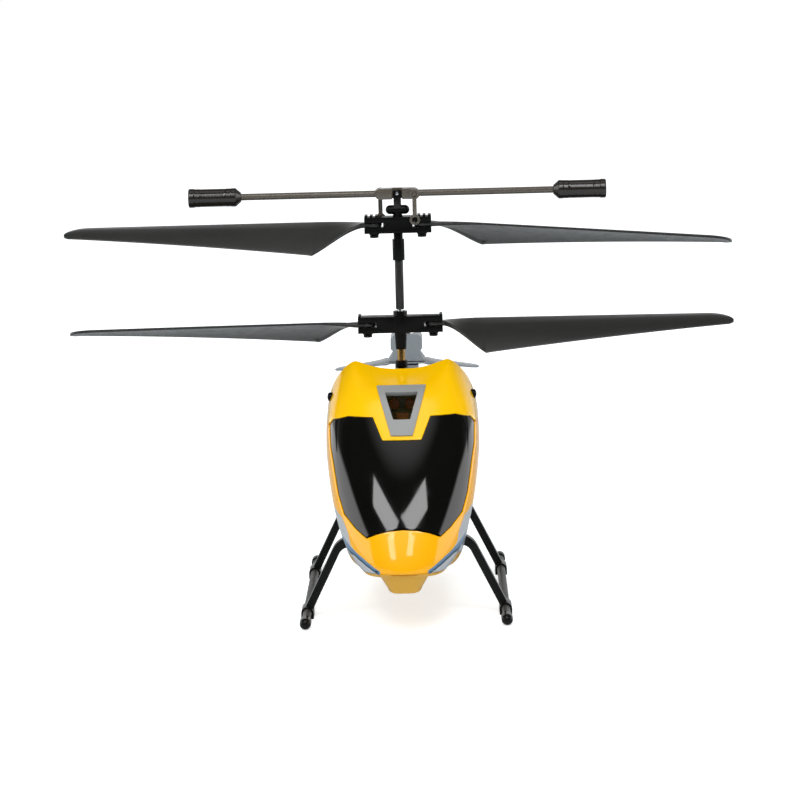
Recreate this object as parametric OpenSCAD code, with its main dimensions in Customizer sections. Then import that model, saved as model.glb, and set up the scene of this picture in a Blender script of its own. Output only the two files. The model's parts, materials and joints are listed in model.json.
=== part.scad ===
// Toy helicopter with two rotors on one mast, standing on its skids.
// Millimetres. +Z is up, the nose points to -Y, the floor is z = 0.
// Inside the modules y is measured from the mast; at_mast() puts it in the part's frame.

/* [Main rotors] */
// Tip to tip diameter of both rotors
rotor_d = 190; // [180:1:210]
// Widest chord of a blade
blade_chord = 20; // [16:0.5:22]
// Chord of a blade near its tip
blade_tip_chord = 8.5; // [6:0.5:12]
// How far the leading edge lies ahead of the blade screw's line
blade_lead = 3.4; // [2.5:0.1:4.5]
// Thickness of a blade
blade_t = 1; // [0.8:0.1:1.3]
// Pitch of a blade at its widest chord, in degrees
blade_pitch = 24; // [18:1:28]
// Pitch of a blade at its tip, in degrees
blade_tip_pitch = 16; // [12:1:20]
// Distance from the mast to a blade's widest chord
blade_corner_r = 24; // [23:0.5:28]
// Droop of the right upper blade, which sits slack in its grip, in degrees
slack_droop = 4.6; // [0:0.2:6]
// Droop of the other blades, in degrees
blade_droop = 0.5; // [0:0.1:1]
// Height of the lower hub's middle above the floor
lower_hub_z = 79.6; // [78:0.2:84]
// Height of the upper hub above the lower hub
rotor_gap = 28.5; // [26:0.5:34]
// Length of the lower hub
lower_hub_len = 24.2; // [23:0.2:27]
// Length of the upper hub
upper_hub_len = 19; // [18:0.2:22]
// Width of both hubs
hub_w = 5.6; // [5.2:0.1:5.8]
// Height of both hubs
hub_h = 4.6; // [4.4:0.1:5.2]
// Distance from a hub's end to its blade screw
blade_screw_inset = 2.7; // [2.5:0.1:3]
// Diameter of a blade screw
blade_screw_d = 1.2; // [1:0.1:1.4]

/* [Flybar] */
// Length over both weights
flybar_span = 118.4; // [112:0.5:124]
// Height of the flybar above the upper hub's middle
flybar_rise = 8.8; // [8.4:0.1:10]
// Diameter of the flybar rods
flybar_rod_d = 1.9; // [1.6:0.1:2.2]
// Diameter of a weight
weight_d = 5.4; // [4.8:0.1:5.8]
// Length of a weight
weight_len = 15; // [12:0.5:16]
// Distance from the mast to each link
link_x = 4.9; // [4.6:0.1:5.2]
// Distance of each link before or behind the mast
link_y = 3.6; // [3.5:0.05:3.8]

/* [Mast] */
// Diameter of the inner shaft
inner_shaft_d = 1.5; // [1.2:0.1:1.6]
// Diameter of the outer shaft
outer_shaft_d = 2.2; // [2.1:0.05:2.4]
// Diameter of the dark sleeve between the hubs
mast_sleeve_d = 2.4; // [2.2:0.1:3]
// Diameter of the rotor head's skirt
head_skirt_d = 3.4; // [3:0.1:3.8]
// Gap round a turning shaft or pin
run_fit = 0.05; // [0.03:0.01:0.08]
// Gap round a pressed piece
press_fit = 0.02; // [0.01:0.01:0.03]

/* [Drive] */
// Tooth size of the gears
gear_module = 0.4; // [0.38:0.01:0.42]
// Teeth of a main gear
main_gear_teeth = 66; // [62:1:68]
// Teeth of a motor pinion
pinion_teeth = 9; // [8:1:10]
// Face width of a main gear
gear_t = 3; // [2:0.1:3.4]
// Height of the lower main gear's underside
lower_gear_z = 23; // [22.6:0.1:23.4]
// Diameter of a drive motor
motor_d = 8; // [7:0.1:8.4]
// Length of a drive motor
motor_len = 19.5; // [17:0.5:20]
// Angle between the two drive motors seen from above, in degrees
motor_spread = 50; // [46:1:54]

/* [Cabin] */
// Distance from the mast to the tip of the nose
nose_reach = 55; // [53:0.5:60]
// Length of the cabin from the nose to the boom
cabin_len = 100; // [98:0.5:106]
// Distance from the mast forward to the cowl's rear edge
cowl_back = 4; // [3.8:0.1:5]
// Widest width of the cabin
cabin_w = 43.5; // [42.5:0.5:48]
// Wall of the shells
wall = 0.9; // [0.7:0.05:1]
// Height of the belly above the floor
belly_z = 13; // [12.5:0.1:13.2]
// Height of the nose's floor above the ground, ahead of the front legs
nose_floor_z = 17; // [16.4:0.1:17.4]
// Height of the seam between the cabin shell and the belly pan
seam_z = 18.6; // [18.2:0.1:19]
// Height of the nose's tip
nose_z = 19.3; // [19:0.1:22]
// Height of the widest section
waist_z = 46; // [45:0.5:47]
// Height of the roof ridges
crest_z = 75; // [73:0.2:76]
// Depth of the hollow between the roof ridges
trough = 6; // [4:0.1:7]
// Height of the rear deck at the mast
deck_z = 60; // [59:0.2:61]
// Drop of the chin below the belly
chin_drop = 0.8; // [0.4:0.1:2]
// Length of the chin
chin_len = 32; // [28:0.5:34]
// Width of the chin where it leaves the belly
chin_w = 15.6; // [12:0.2:17]
// Distance from the tip of the nose to the chin
chin_setback = 1.6; // [1:0.1:4]
// Gap along the seams between shell pieces
seam_gap = 0.12; // [0.08:0.01:0.2]
// Diameter of a cowl screw's head
cowl_screw_d = 2.6; // [2.2:0.1:3]

/* [Tail] */
// Distance from the mast to the tail rotor's axis
tail_reach = 132; // [128:0.5:140]
// Diameter of the tail boom
boom_d = 5; // [4.4:0.1:5.4]
// Bore of the tail boom
boom_bore = 3.8; // [3:0.1:4]
// Height of the tail boom
boom_z = 45.4; // [45:0.1:46]
// Span of the stabiliser
stabiliser_span = 49; // [44:0.5:56]
// Width of the tail motor's housing
tail_housing_w = 10.6; // [9.5:0.1:12]
// Height of the tail motor's housing
tail_housing_h = 9; // [8:0.1:10]
// Diameter of the tail motor
tail_motor_d = 6; // [5.4:0.1:6.4]
// Diameter of the tail rotor
tail_rotor_d = 32; // [26:0.5:36]
// Distance from the tail rotor's axis to the fin's tip
fin_reach = 13; // [11:0.5:16]
// Depth of the fin under its clamp
fin_drop = 15; // [12:0.5:18]

/* [Skids] */
// Distance between the skid rods
skid_track = 55.8; // [52:0.2:60]
// Length of a skid
skid_len = 82.5; // [78:0.5:90]
// Length of a skid ahead of the front leg
skid_lead = 16.8; // [14:0.2:20]
// Distance from the mast forward to the front legs
front_leg_lead = 23.5; // [23:0.1:24]
// Diameter of a skid rod
skid_d = 2.4; // [2:0.1:2.6]
// Distance between the front and rear legs
leg_spacing = 49.5; // [48.5:0.1:50]
// Thickness of a leg
leg_t = 2.2; // [1.8:0.1:2.6]
// Thickness of a leg where it leaves the cabin
leg_root_t = 2.8; // [2.4:0.1:3.2]
// Width of a leg
leg_w = 3.2; // [2.8:0.1:3.4]
// Slope of a leg below the level, in degrees
leg_rake = 63.7; // [60:0.5:68]
// Height of a leg where it leaves the cabin
leg_z = 21.5; // [21.3:0.1:22]
// Width of a leg's clip
clip_w = 3.5; // [3.2:0.1:4]

/* [Electrics] */
// Width of the battery
battery_w = 15; // [12:0.5:15.5]
// Length of the battery
battery_l = 13; // [11:0.5:13.4]
// Height of the battery
battery_h = 13; // [10:0.5:14]
// Width of the receiver board
board_w = 16; // [13:0.5:18]
// Height of the receiver board
board_h = 8.4; // [7.6:0.1:9]
// Travel of the power switch to each side
switch_travel = 1.2; // [0.8:0.1:1.4]
// Bore of the charging socket
socket_bore = 2.4; // [2:0.1:2.6]

/* [Hidden] */
$fn = 48;

black = "#17181a";
charcoal = "#38393a";
yellow = "#f7b500";
grey = "#8f979e";
smoke = "#7a736a";
steel = "#b9bcc0";
brass = "#a8813f";
white_nylon = "#e9e6dc";
green = "#2d6b46";
blue = "#4a6f96";

// The fin's tip is the rear end and the nose is the front end, so this centres the length on the origin.
// Along the cabin u runs from the nose, 0, past the cowl's rear edge, to the boom, 1.
nose_u = 0.004;
cowl_end = 0.51;
mast_y = -(station_y(nose_u, 0) + tail_reach + fin_reach) / 2;

upper_hub_z = lower_hub_z + rotor_gap;
flybar_z = upper_hub_z + flybar_rise;
lower_screw_r = lower_hub_len / 2 - blade_screw_inset;
upper_screw_r = upper_hub_len / 2 - blade_screw_inset;

// Blade tabs and the slots that hold them.
tab_t = 1.4;
tab_play = 0.1;
tab_r = 2.3;
tab_reach = 4.6;
slot_end_gap = 0.35;
screw_head_d = 2.5;
screw_head_h = 0.9;
hub_boss_r = 3.4;

// Heights up the mast, from the gears to the flybar.
gear_gap = 3.5;
upper_gear_z = lower_gear_z + gear_t + gear_gap;
gear_hub_r = 2.2;
gear_hub_rise = 1.4;
plate_t = 2;
bottom_plate_z = lower_gear_z - gear_hub_rise - 0.8 - plate_t;
middle_plate_z = upper_gear_z + gear_t + gear_hub_rise + 0.6;
motor_z = middle_plate_z + plate_t;
top_plate_z = motor_z + motor_len - 6;
mast_boss_r = 3.2;
mast_boss_top = deck_z + 4;
bearing_r = 2.4;
hub_skirt_len = 5;
collar_h = 2.2;
collar_z = lower_hub_z - hub_h / 2 - hub_skirt_len - 3.2 - collar_h;
hub_collar_h = 1.4;
lower_hub_top = lower_hub_z + hub_h / 2 + hub_collar_h;
sleeve_gap = 0.5;
head_skirt_len = 6;
head_neck_r = 1.3;
head_neck_len = 1.9;
head_skirt_top = upper_hub_z - hub_h / 2 - head_neck_len;
head_skirt_z = head_skirt_top - head_skirt_len;
outer_shaft_bore = inner_shaft_d + 2 * run_fit;

// Gear teeth: shortened involutes with room behind each flank.
pressure = 25;
addendum = 0.75;
dedendum = 1.05;
tooth_share = 0.85;
main_gear_r = main_gear_teeth * gear_module / 2;
pinion_r = pinion_teeth * gear_module / 2;
motor_r = main_gear_r + pinion_r;
motor_shaft_d = 1;
pinion_over = 0.5;
left_motor_a = -90 - motor_spread / 2;
right_motor_a = -90 + motor_spread / 2;
motor_x = motor_r * sin(motor_spread / 2);
motor_y = -motor_r * cos(motor_spread / 2);

// Frame walls stand just clear of the gears and motors.
frame_front = motor_y - motor_d / 2 - 0.4;
frame_back = main_gear_r + 2;
frame_half_w = 8;
plate_half_w = motor_x + motor_d / 2 + 1.2;
arm_y = -8;
arm_w = 4;
arm_inset = 3.7;
arm_z = mix(waist_z, crest_z, 0.488);
boom_root = frame_back + 3;
socket_r = boom_d / 2 + 1.5;

// Cabin loft.
boom_ring = boom_d / 2 + 3;
deck_end_z = boom_z + boom_ring;
boom_under_z = boom_z - boom_ring;
ring_sides = [0.95, 0.88, 0.79, 0.63, 0.47, 0.32, 0.16];
ring_roof = [for (i = [0 : 4]) 0.8 * i / 5];
ring_top = [1, 0.9, 0.806, 0.7, 0.5, 0.3, 0.15, 0];
ridge_share = 0.605;
side_lean = 0.28;
stations = [nose_u, 0.012, 0.03, 0.06, 0.1, 0.15, 0.2, 0.225, 0.25, 0.275, 0.3, 0.35, 0.4, 0.45, 0.48, cowl_end,
  cowl_end + 0.001, 0.55, 0.6, 0.66, 0.72, 0.78, 0.84, 0.9, 0.95, 1];

// Openings in the front of the cabin, seen from the front: shares of the half width and of the cabin's height.
visor_outline = [[0, 0.278], [0.18, 0.273], [0.335, 0.2593], [0.46, 0.2411], [0.593, 0.2721], [0.745, 0.3222],
  [0.818, 0.3949], [0.878, 0.5098], [0.922, 0.5825], [0.933, 0.657], [0.892, 0.691], [0.69, 0.712], [0.368, 0.712],
  [0.248, 0.623], [0, 0.623]];
cowl_outline = [[0, 0.623], [0.248, 0.623], [0.368, 0.712], [0.69, 0.712], [0.892, 0.691], [0.95, 0.663],
  [1.3, 0.663], [1.3, 1.4], [0, 1.4]];
bezel_outline = [[0, 0.6424], [0.138, 0.6424], [0.317, 0.8275], [0, 0.8275]];
vent_outline = [[0, 0.7023], [0.108, 0.7023], [0.2115, 0.8053], [0, 0.8053]];
visor_inset = 0.25;
bezel_proud = 0.45;
cowl_screw_proud = 0.7;
cowl_screw_len = 5;

// Legs and clips.
front_leg_y = -front_leg_lead;
rear_leg_y = front_leg_y + leg_spacing;
clip_len = 6;
clip_z = clip_w / 2;
leg_bend_r = 4.5;
leg_inner_x = 9.5;
leg_slot_play = 0.35;
leg_bend_drop = leg_bend_r * (1 - cos(leg_rake));
leg_bend_x = skid_track / 2 - (leg_z - leg_bend_drop - clip_z) / tan(leg_rake) - leg_bend_r * sin(leg_rake);
skid_front = front_leg_y - skid_lead;
cap_r = 1.6;
cap_len = 3.4;

// Tail.
clamp_top = boom_z + boom_d / 2 + 0.8;
stabiliser_t = 1.3;
housing_foot = tail_housing_w * 0.58;
seat_half = housing_foot + 0.4;
stabiliser_z = clamp_top;
housing_z = stabiliser_z + stabiliser_t;
housing_len = 11;
tail_motor_len = tail_housing_h + 1;
tail_rotor_z = housing_z + tail_motor_len + 2.2;
tail_shaft_d = 0.8;

// Floor pieces inside the belly.
pad_z = belly_z + wall + 1.3;
pad_rim = 0.6;
switch_x = 5;
switch_y = 3;
socket_x = -5;
socket_y = 4;
frame_screw_y = [frame_front + 4, frame_back - 5];
frame_screw_d = 1.6;
battery_front = front_leg_y - leg_w / 2 - 3.5 - battery_l;
battery_z = nose_floor_z + wall + 0.6;
board_y = motor_y + motor_d / 2 + 0.7;
board_t = 1.2;

function limit(v, lo, hi) = min(max(v, lo), hi);
function ease(t) = let(c = limit(t, 0, 1)) c * c * (3 - 2 * c);
function mix(a, b, t) = a + (b - a) * t;

// Half width of the cabin: a blunt nose, then a taper to the boom.
function half_width(u) = u < 0.5
  ? cabin_w / 2 * pow(1 - pow(limit(1 - u / 0.5, 0, 1), 2.6), 1 / 2.2)
  : mix(cabin_w / 2, boom_ring, pow((u - 0.5) / 0.5, 2.2));
function waist(u) = mix(nose_z, waist_z, ease(u / 0.4)) + (boom_z - waist_z) * ease((u - 0.6) / 0.4);
function roof(u) = u <= cowl_end
  ? mix(nose_z, crest_z, pow(1 - pow(limit(1 - u / 0.55, 0, 1), 1.2), 0.72))
  : mix(deck_end_z, deck_z, pow((1 - u) / (1 - cowl_end), 1.3));
function under(u) = u < 0.5
  ? mix(mix(nose_z, nose_floor_z, sqrt(1 - pow(limit(1 - u / 0.06, 0, 1), 2.2))), belly_z, ease((u - 0.22) / 0.08))
  : mix(belly_z, boom_under_z, pow(limit((u - 0.74) / 0.26, 0, 1), 1.6));
function roof_power(u) = mix(2.3, 3.4, ease(u / 0.45));
function hollow(u, x) = let(f = 1 - pow(abs(x) / (ridge_share * cabin_w / 2), 2.4))
  u > cowl_end ? 0 : trough * ease((u - 0.32) / 0.19) * (f + sqrt(f * f + 0.03)) / 2;

// Right half of a section, grown by d: the floor from its middle to the waist, then the roof to its middle.
// Behind the nose tip the floor is a box with rounded corners whose sides lean in towards it.
function floor_xz(u, d) = let(
    w = half_width(u) + d,
    h = waist(u) - under(u) + d,
    boxy = ease(u / 0.1),
    p = mix(2.4, 4, boxy),
    q = mix(3, 12, boxy),
    last = pow(1 - pow(ring_sides[0], q), 1 / p),
    flat = [for (i = [0 : 3]) let(x = last * i / 4) [x, pow(1 - pow(x, p), 1 / q)]],
    side = [for (t = ring_sides) [pow(1 - pow(t, q), 1 / p), t]])
  [for (k = concat(flat, side)) [w * k[0] * (1 - side_lean * boxy * pow(k[1], 1.2)), waist(u) - h * k[1]]];
function roof_xz(u, d) = let(
    w = half_width(u) + d,
    h = roof(u) - waist(u) + d,
    q = roof_power(u),
    last = pow(1 - pow(0.8, q), 1 / 2.2),
    side = [for (t = ring_roof) [pow(1 - pow(t, q), 1 / 2.2), t]],
    top = [for (share = ring_top) let(x = last * share) [x, pow(1 - pow(x, 2.2), 1 / q)]])
  [for (p = concat(side, top)) let(x = w * p[0]) [x, waist(u) + h * p[1] - hollow(u, x)]];
function section(u, d) = let(
    half = concat(floor_xz(u, d), roof_xz(u, d)),
    n = len(half))
  concat(half, [for (i = [n - 2 : -1 : 1]) [-half[i][0], half[i][1]]]);
function station_y(u, d) = (u <= cowl_end ? mix(-nose_reach, -cowl_back, u / cowl_end)
  : mix(-cowl_back, cabin_len - nose_reach, (u - cowl_end) / (1 - cowl_end))) - d * max(1 - u / 0.5, 0);

// Closed skin over rings of equal length, with flat ends.
module skin(rings) {
  n = len(rings[0]);
  m = len(rings);
  sides = [for (j = [0 : m - 2], i = [0 : n - 1]) let(k = (i + 1) % n)
    each [[j * n + i, j * n + k, (j + 1) * n + k], [j * n + i, (j + 1) * n + k, (j + 1) * n + i]]];
  first = [for (i = [1 : n - 2]) [0, i + 1, i]];
  last = [for (i = [1 : n - 2]) [(m - 1) * n, (m - 1) * n + i, (m - 1) * n + i + 1]];
  polyhedron([for (ring = rings) each ring], concat(sides, first, last));
}

// The cabin's whole form, grown by d. A smaller one runs on past the rear so that it cuts an open end.
module cabin_form(d = 0) {
  used = d < 0 ? [for (u = stations) if (u > 0.01) u] : stations;
  rings = [for (u = used) [for (p = section(u, d)) [p[0], station_y(u, d), p[1]]]];
  rear = [for (p = section(1, d)) [p[0], station_y(1, d) + wall, p[1]]];
  skin(d < 0 ? concat(rings, [rear]) : rings);
}

function front_point(p) = [p[0] * cabin_w / 2, belly_z + p[1] * (crest_z - belly_z)];

// A front outline carried straight back to the end of the cowl, or a little past it.
module front_cut(outline, grow = 0, past = 0) {
  right = [for (p = outline) front_point(p)];
  left = [for (i = [len(right) - 1 : -1 : 0]) if (right[i][0] > 0) [-right[i][0], right[i][1]]];
  translate([0, station_y(cowl_end, 0) + past, 0]) rotate([90, 0, 0]) linear_extrude(2 * nose_reach)
    offset(delta = grow) polygon(concat(right, left));
}

// One continuous moulding: the form and its cut-outs taken together.
module moulding() resize([0, 0, 0]) children();

module at_mast() translate([0, mast_y, 0]) children();
module both_sides() {
  children();
  mirror([1, 0, 0]) children();
}
module tube(outer_d, inner_d, h) {
  difference() {
    cylinder(d = outer_d, h = h);
    translate([0, 0, -1]) cylinder(d = inner_d, h = h + 2);
  }
}
module along_y(y) translate([0, y, 0]) rotate([-90, 0, 0]) children();

// Angle between a point of the involute at radius r and its start, in degrees.
function involute(rb, r) = let(t = sqrt(max(r * r / (rb * rb) - 1, 0))) t * 180 / PI - atan(t);
function tooth_half(teeth, r) = let(
    rp = teeth * gear_module / 2,
    rb = rp * cos(pressure))
  90 / teeth * tooth_share + involute(rb, rp) - involute(rb, max(r, rb));
function gear_points(teeth) = let(
    rp = teeth * gear_module / 2,
    rs = [rp - dedendum * gear_module, rp, rp + addendum * gear_module])
  [for (i = [0 : teeth - 1]) let(a = i * 360 / teeth) each concat(
    [for (r = rs) r * [cos(a - tooth_half(teeth, r)), sin(a - tooth_half(teeth, r))]],
    [for (i = [2 : -1 : 0]) rs[i] * [cos(a + tooth_half(teeth, rs[i])), sin(a + tooth_half(teeth, rs[i]))]])];

// A main gear on its hub, with a tooth pointing at its motor.
module main_gear(z, bore_d, motor_a) {
  difference() {
    union() {
      translate([0, 0, z]) rotate(motor_a) linear_extrude(gear_t) polygon(gear_points(main_gear_teeth));
      translate([0, 0, z - gear_hub_rise]) cylinder(r = gear_hub_r, h = gear_t + 2 * gear_hub_rise);
    }
    translate([0, 0, z - gear_hub_rise - 1]) cylinder(d = bore_d, h = gear_t + 2 * gear_hub_rise + 2);
    for (a = [0 : 60 : 300]) rotate(a + 30)
      translate([main_gear_r * 0.58, 0, z - 1]) cylinder(r = 2.6, h = gear_t + 2);
  }
}

// A pinion with a tooth gap pointing back at its gear.
module pinion(x, a, z) {
  translate([x, motor_y, z]) rotate(a + 180 + 180 / pinion_teeth) difference() {
    linear_extrude(gear_t + 2 * pinion_over) polygon(gear_points(pinion_teeth));
    translate([0, 0, -1]) cylinder(d = motor_shaft_d + 2 * press_fit, h = gear_t + 2 * pinion_over + 2);
  }
}
module motor_shaft(x, z) translate([x, motor_y, z]) cylinder(d = motor_shaft_d, h = motor_z + 4 - z);

// A motor can with its end cap and two terminals, and a bore below for its shaft.
module motor(x) {
  translate([x, motor_y, motor_z]) difference() {
    union() {
      cylinder(d = motor_d, h = motor_len);
      translate([0, 0, motor_len]) cylinder(d = motor_d * 0.55, h = 0.9);
      for (s = [-1, 1]) translate([s * motor_d * 0.36 - 0.5, -0.2, motor_len]) cube([1, 0.4, 1.6]);
    }
    translate([0, 0, -1]) cylinder(d = motor_shaft_d + 2 * run_fit, h = 5.5);
  }
}

module main_frame() color(black) at_mast() {
  difference() {
    union() {
      for (z = [bottom_plate_z, middle_plate_z, top_plate_z])
        let(half = z == bottom_plate_z ? frame_half_w : plate_half_w)
          translate([-half, frame_front - plate_t, z])
            cube([2 * half, frame_back - frame_front + 2 * plate_t, plate_t]);
      for (y = [frame_front - plate_t, frame_back])
        translate([-frame_half_w, y, bottom_plate_z])
          cube([2 * frame_half_w, plate_t, top_plate_z + plate_t - bottom_plate_z]);
      translate([0, 0, top_plate_z]) cylinder(r = mast_boss_r, h = mast_boss_top - top_plate_z);
      both_sides() translate([plate_half_w - plate_t, arm_y - arm_w / 2, top_plate_z])
        cube([plate_t, arm_w, arm_z + 1.5 - top_plate_z]);
      both_sides() translate([plate_half_w - plate_t, arm_y - arm_w / 2, arm_z - 1.5])
        cube([cabin_w / 2 - arm_inset - plate_half_w + plate_t, arm_w, 3]);
      translate([0, 0, boom_z]) along_y(frame_back)
        cylinder(r = socket_r, h = station_y(1, 0) - frame_back - 1);
    }
    translate([0, 0, bottom_plate_z - 1]) cylinder(r = bearing_r + press_fit, h = plate_t + 2);
    translate([0, 0, middle_plate_z - 1]) cylinder(r = bearing_r + press_fit, h = plate_t + 2);
    translate([0, 0, top_plate_z - 1]) cylinder(d = outer_shaft_d + 1, h = mast_boss_top - top_plate_z + 2);
    translate([0, 0, mast_boss_top - 2.5]) cylinder(r = bearing_r + press_fit, h = 5);
    both_sides() translate([motor_x, motor_y, middle_plate_z - 1])
      cylinder(d = motor_shaft_d + 1.4, h = plate_t + 2);
    both_sides() translate([motor_x, motor_y, top_plate_z - 1])
      cylinder(d = motor_d + 2 * press_fit, h = plate_t + 2);
    translate([0, 0, boom_z]) along_y(boom_root) cylinder(d = boom_d + 2 * press_fit, h = cabin_len);
    for (y = frame_screw_y) translate([0, y, bottom_plate_z - 1])
      cylinder(d = frame_screw_d + 2 * press_fit, h = plate_t + 2);
    both_sides() translate([cabin_w / 2 - arm_inset - cowl_screw_len, arm_y, arm_z]) rotate([0, 90, 0])
      cylinder(d = frame_screw_d + 2 * press_fit, h = cowl_screw_len + 5);
  }
}
module lower_bearing() color(brass) at_mast() translate([0, 0, bottom_plate_z])
  tube(2 * bearing_r, inner_shaft_d + 2 * run_fit, plate_t);
module middle_bearing() color(brass) at_mast() translate([0, 0, middle_plate_z])
  tube(2 * bearing_r, outer_shaft_d + 2 * run_fit, plate_t);
module top_bearing() color(brass) at_mast() translate([0, 0, mast_boss_top - 2.5])
  tube(2 * bearing_r, outer_shaft_d + 2 * run_fit, 2.5);
module left_motor() color(steel) at_mast() motor(-motor_x);
module right_motor() color(steel) at_mast() motor(motor_x);
module left_pinion() color(brass) at_mast() pinion(-motor_x, left_motor_a, upper_gear_z - pinion_over);
module right_pinion() color(brass) at_mast() pinion(motor_x, right_motor_a, lower_gear_z - pinion_over);
module left_motor_shaft() color(steel) at_mast() motor_shaft(-motor_x, upper_gear_z - pinion_over);
module right_motor_shaft() color(steel) at_mast() motor_shaft(motor_x, lower_gear_z - pinion_over);

// A foil-wrapped cell with a folded top edge.
module battery() color(steel) at_mast() translate([-battery_w / 2, battery_front, battery_z]) {
  cube([battery_w, battery_l, battery_h]);
  translate([1, battery_l / 2 - 0.5, battery_h]) cube([battery_w - 2, 1, 1.2]);
}
module receiver_board() color(green) at_mast() translate([-board_w / 2, board_y, top_plate_z + plate_t])
  cube([board_w, board_t, board_h]);

// Two coils, a chip and a small capacitor on the board's front.
module board_parts() color("#3a2d22") at_mast() translate([0, board_y, top_plate_z + plate_t]) {
  for (x = [-2.2, 2.2]) translate([x, 0, board_h - 2.6]) rotate([90, 0, 0]) cylinder(r = 1.5, h = 1.1);
  translate([-1.8, -0.8, 0.6]) cube([3.6, 0.8, 2.8]);
  translate([0, board_t, board_h / 2]) rotate([-90, 0, 0]) cylinder(r = 1.2, h = 1.2);
}

// The switch case has a window below and a long room inside for its slider.
switch_w = 4;
switch_l = 8.4;
switch_h = 3.6;
slider_w = 1.8;
slider_l = 2.2;
slider_play = 0.15;
slider_proud = 0.8;
module switch_body() color(black) at_mast() translate([switch_x, switch_y, pad_z]) difference() {
  translate([-switch_w / 2, -switch_l / 2, 0]) cube([switch_w, switch_l, switch_h]);
  translate([-slider_w / 2 - slider_play, -slider_l / 2 - switch_travel - slider_play, -1])
    cube([slider_w + 2 * slider_play, slider_l + 2 * (switch_travel + slider_play), 3.6]);
}
module switch_slider() color(white_nylon) at_mast() translate([switch_x, switch_y, 0])
  translate([-slider_w / 2, -slider_l / 2, belly_z - slider_proud])
    cube([slider_w, slider_l, pad_z + 2.6 - slider_play - belly_z + slider_proud]);
module charge_socket() color(black) at_mast() translate([socket_x, socket_y, pad_z]) difference() {
  cylinder(d = socket_bore + 2.4, h = 3.6);
  translate([0, 0, -1]) cylinder(d = socket_bore, h = 3.8);
}
module frame_screws() color(steel) at_mast() for (y = frame_screw_y) translate([0, y, belly_z - 0.6]) {
  cylinder(d = 2.6, h = 0.6);
  cylinder(d = frame_screw_d, h = bottom_plate_z + plate_t - belly_z + 0.6);
}

module leg_slots() {
  for (y = [front_leg_y, rear_leg_y]) both_sides()
    translate([leg_inner_x, y - leg_w / 2 - leg_slot_play, seam_z - 1])
      cube([cabin_w, leg_w + 2 * leg_slot_play, leg_z + leg_root_t / 2 + leg_slot_play - seam_z + 1]);
}

module cabin_shell() color(yellow) at_mast() moulding() difference() {
  cabin_form();
  cabin_form(-wall);
  front_cut(visor_outline, seam_gap);
  front_cut(cowl_outline, seam_gap, 0.25);
  translate([-cabin_w, -cabin_len, 0]) cube([2 * cabin_w, 2 * cabin_len, seam_z + seam_gap]);
  translate([0, 0, seam_z]) cylinder(r = mast_boss_r + 1.4, h = crest_z);
  leg_slots();
}
module top_cowl() color(yellow) at_mast() moulding() difference() {
  intersection() {
    cabin_form();
    front_cut(cowl_outline);
  }
  cabin_form(-wall);
  front_cut(bezel_outline, seam_gap);
  both_sides() translate([0, arm_y, arm_z]) rotate([0, 90, 0]) cylinder(d = frame_screw_d + 0.6, h = cabin_w);
}
module visor() color("#0c0c0d") at_mast() moulding() difference() {
  intersection() {
    cabin_form(-visor_inset);
    front_cut(visor_outline);
  }
  cabin_form(-visor_inset - wall);
}
module vent_bezel() color(grey) at_mast() moulding() difference() {
  intersection() {
    cabin_form(bezel_proud);
    front_cut(bezel_outline);
  }
  cabin_form(-wall);
  front_cut(vent_outline);
}

// The pan under the seam, with its chin, the ribs that carry the legs and battery, and the frame's bosses.
module belly_pan() color(yellow) at_mast() moulding() difference() {
  union() {
    difference() {
      union() {
        intersection() {
          cabin_form();
          translate([-cabin_w, -cabin_len, 0]) cube([2 * cabin_w, 2 * cabin_len, seam_z]);
        }
        chin();
      }
      cabin_form(-wall);
    }
    difference() {
      intersection() {
        cabin_form(-wall / 2);
        ribs();
      }
      difference() {
        translate([-cabin_w, -cabin_len, seam_z - 0.3]) cube([2 * cabin_w, 2 * cabin_len, cabin_w]);
        cabin_form(-wall - 0.3);
      }
    }
  }
  for (y = frame_screw_y) translate([0, y, 0]) cylinder(d = frame_screw_d + 2 * press_fit, h = leg_z);
  translate([switch_x - slider_w / 2 - slider_play, switch_y - slider_l / 2 - switch_travel - slider_play, 0])
    cube([slider_w + 2 * slider_play, slider_l + 2 * (switch_travel + slider_play), pad_z + wall]);
  translate([socket_x, socket_y, 0]) cylinder(d = socket_bore + 0.6, h = pad_z + wall);
  translate([switch_x - switch_w / 2 - pad_rim, switch_y - switch_l / 2 - pad_rim, pad_z - press_fit])
    cube([switch_w + 2 * pad_rim, switch_l + 2 * pad_rim, wall]);
  translate([socket_x, socket_y, pad_z - press_fit]) cylinder(d = socket_bore + 2.4 + 2 * pad_rim, h = wall);
}
module ribs() {
  for (y = [front_leg_y, rear_leg_y])
    translate([-leg_bend_x, y - leg_w / 2, 0]) cube([2 * leg_bend_x, leg_w, leg_z - leg_root_t / 2 - press_fit]);
  translate([-battery_w / 2, battery_front, 0]) cube([battery_w, battery_l, battery_z - press_fit]);
  for (y = frame_screw_y) translate([0, y, 0]) cylinder(r = 2.4, h = bottom_plate_z - press_fit);
  translate([switch_x - switch_w / 2 - pad_rim, switch_y - switch_l / 2 - pad_rim, 0])
    cube([switch_w + 2 * pad_rim, switch_l + 2 * pad_rim, pad_z - press_fit]);
  translate([socket_x, socket_y, 0]) cylinder(d = socket_bore + 2.4 + 2 * pad_rim, h = pad_z - press_fit);
}
module chin() {
  middle = -nose_reach + chin_setback + chin_len / 2;
  hull() {
    translate([0, middle, seam_z - wall]) linear_extrude(wall) offset(r = chin_w / 5)
      square([chin_w * 0.6, chin_len - chin_w * 0.4], center = true);
    translate([0, middle + chin_w / 10, belly_z - chin_drop]) linear_extrude(wall) offset(r = chin_w / 10)
      square([chin_w * 0.42, chin_len * 0.8], center = true);
  }
}
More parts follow.
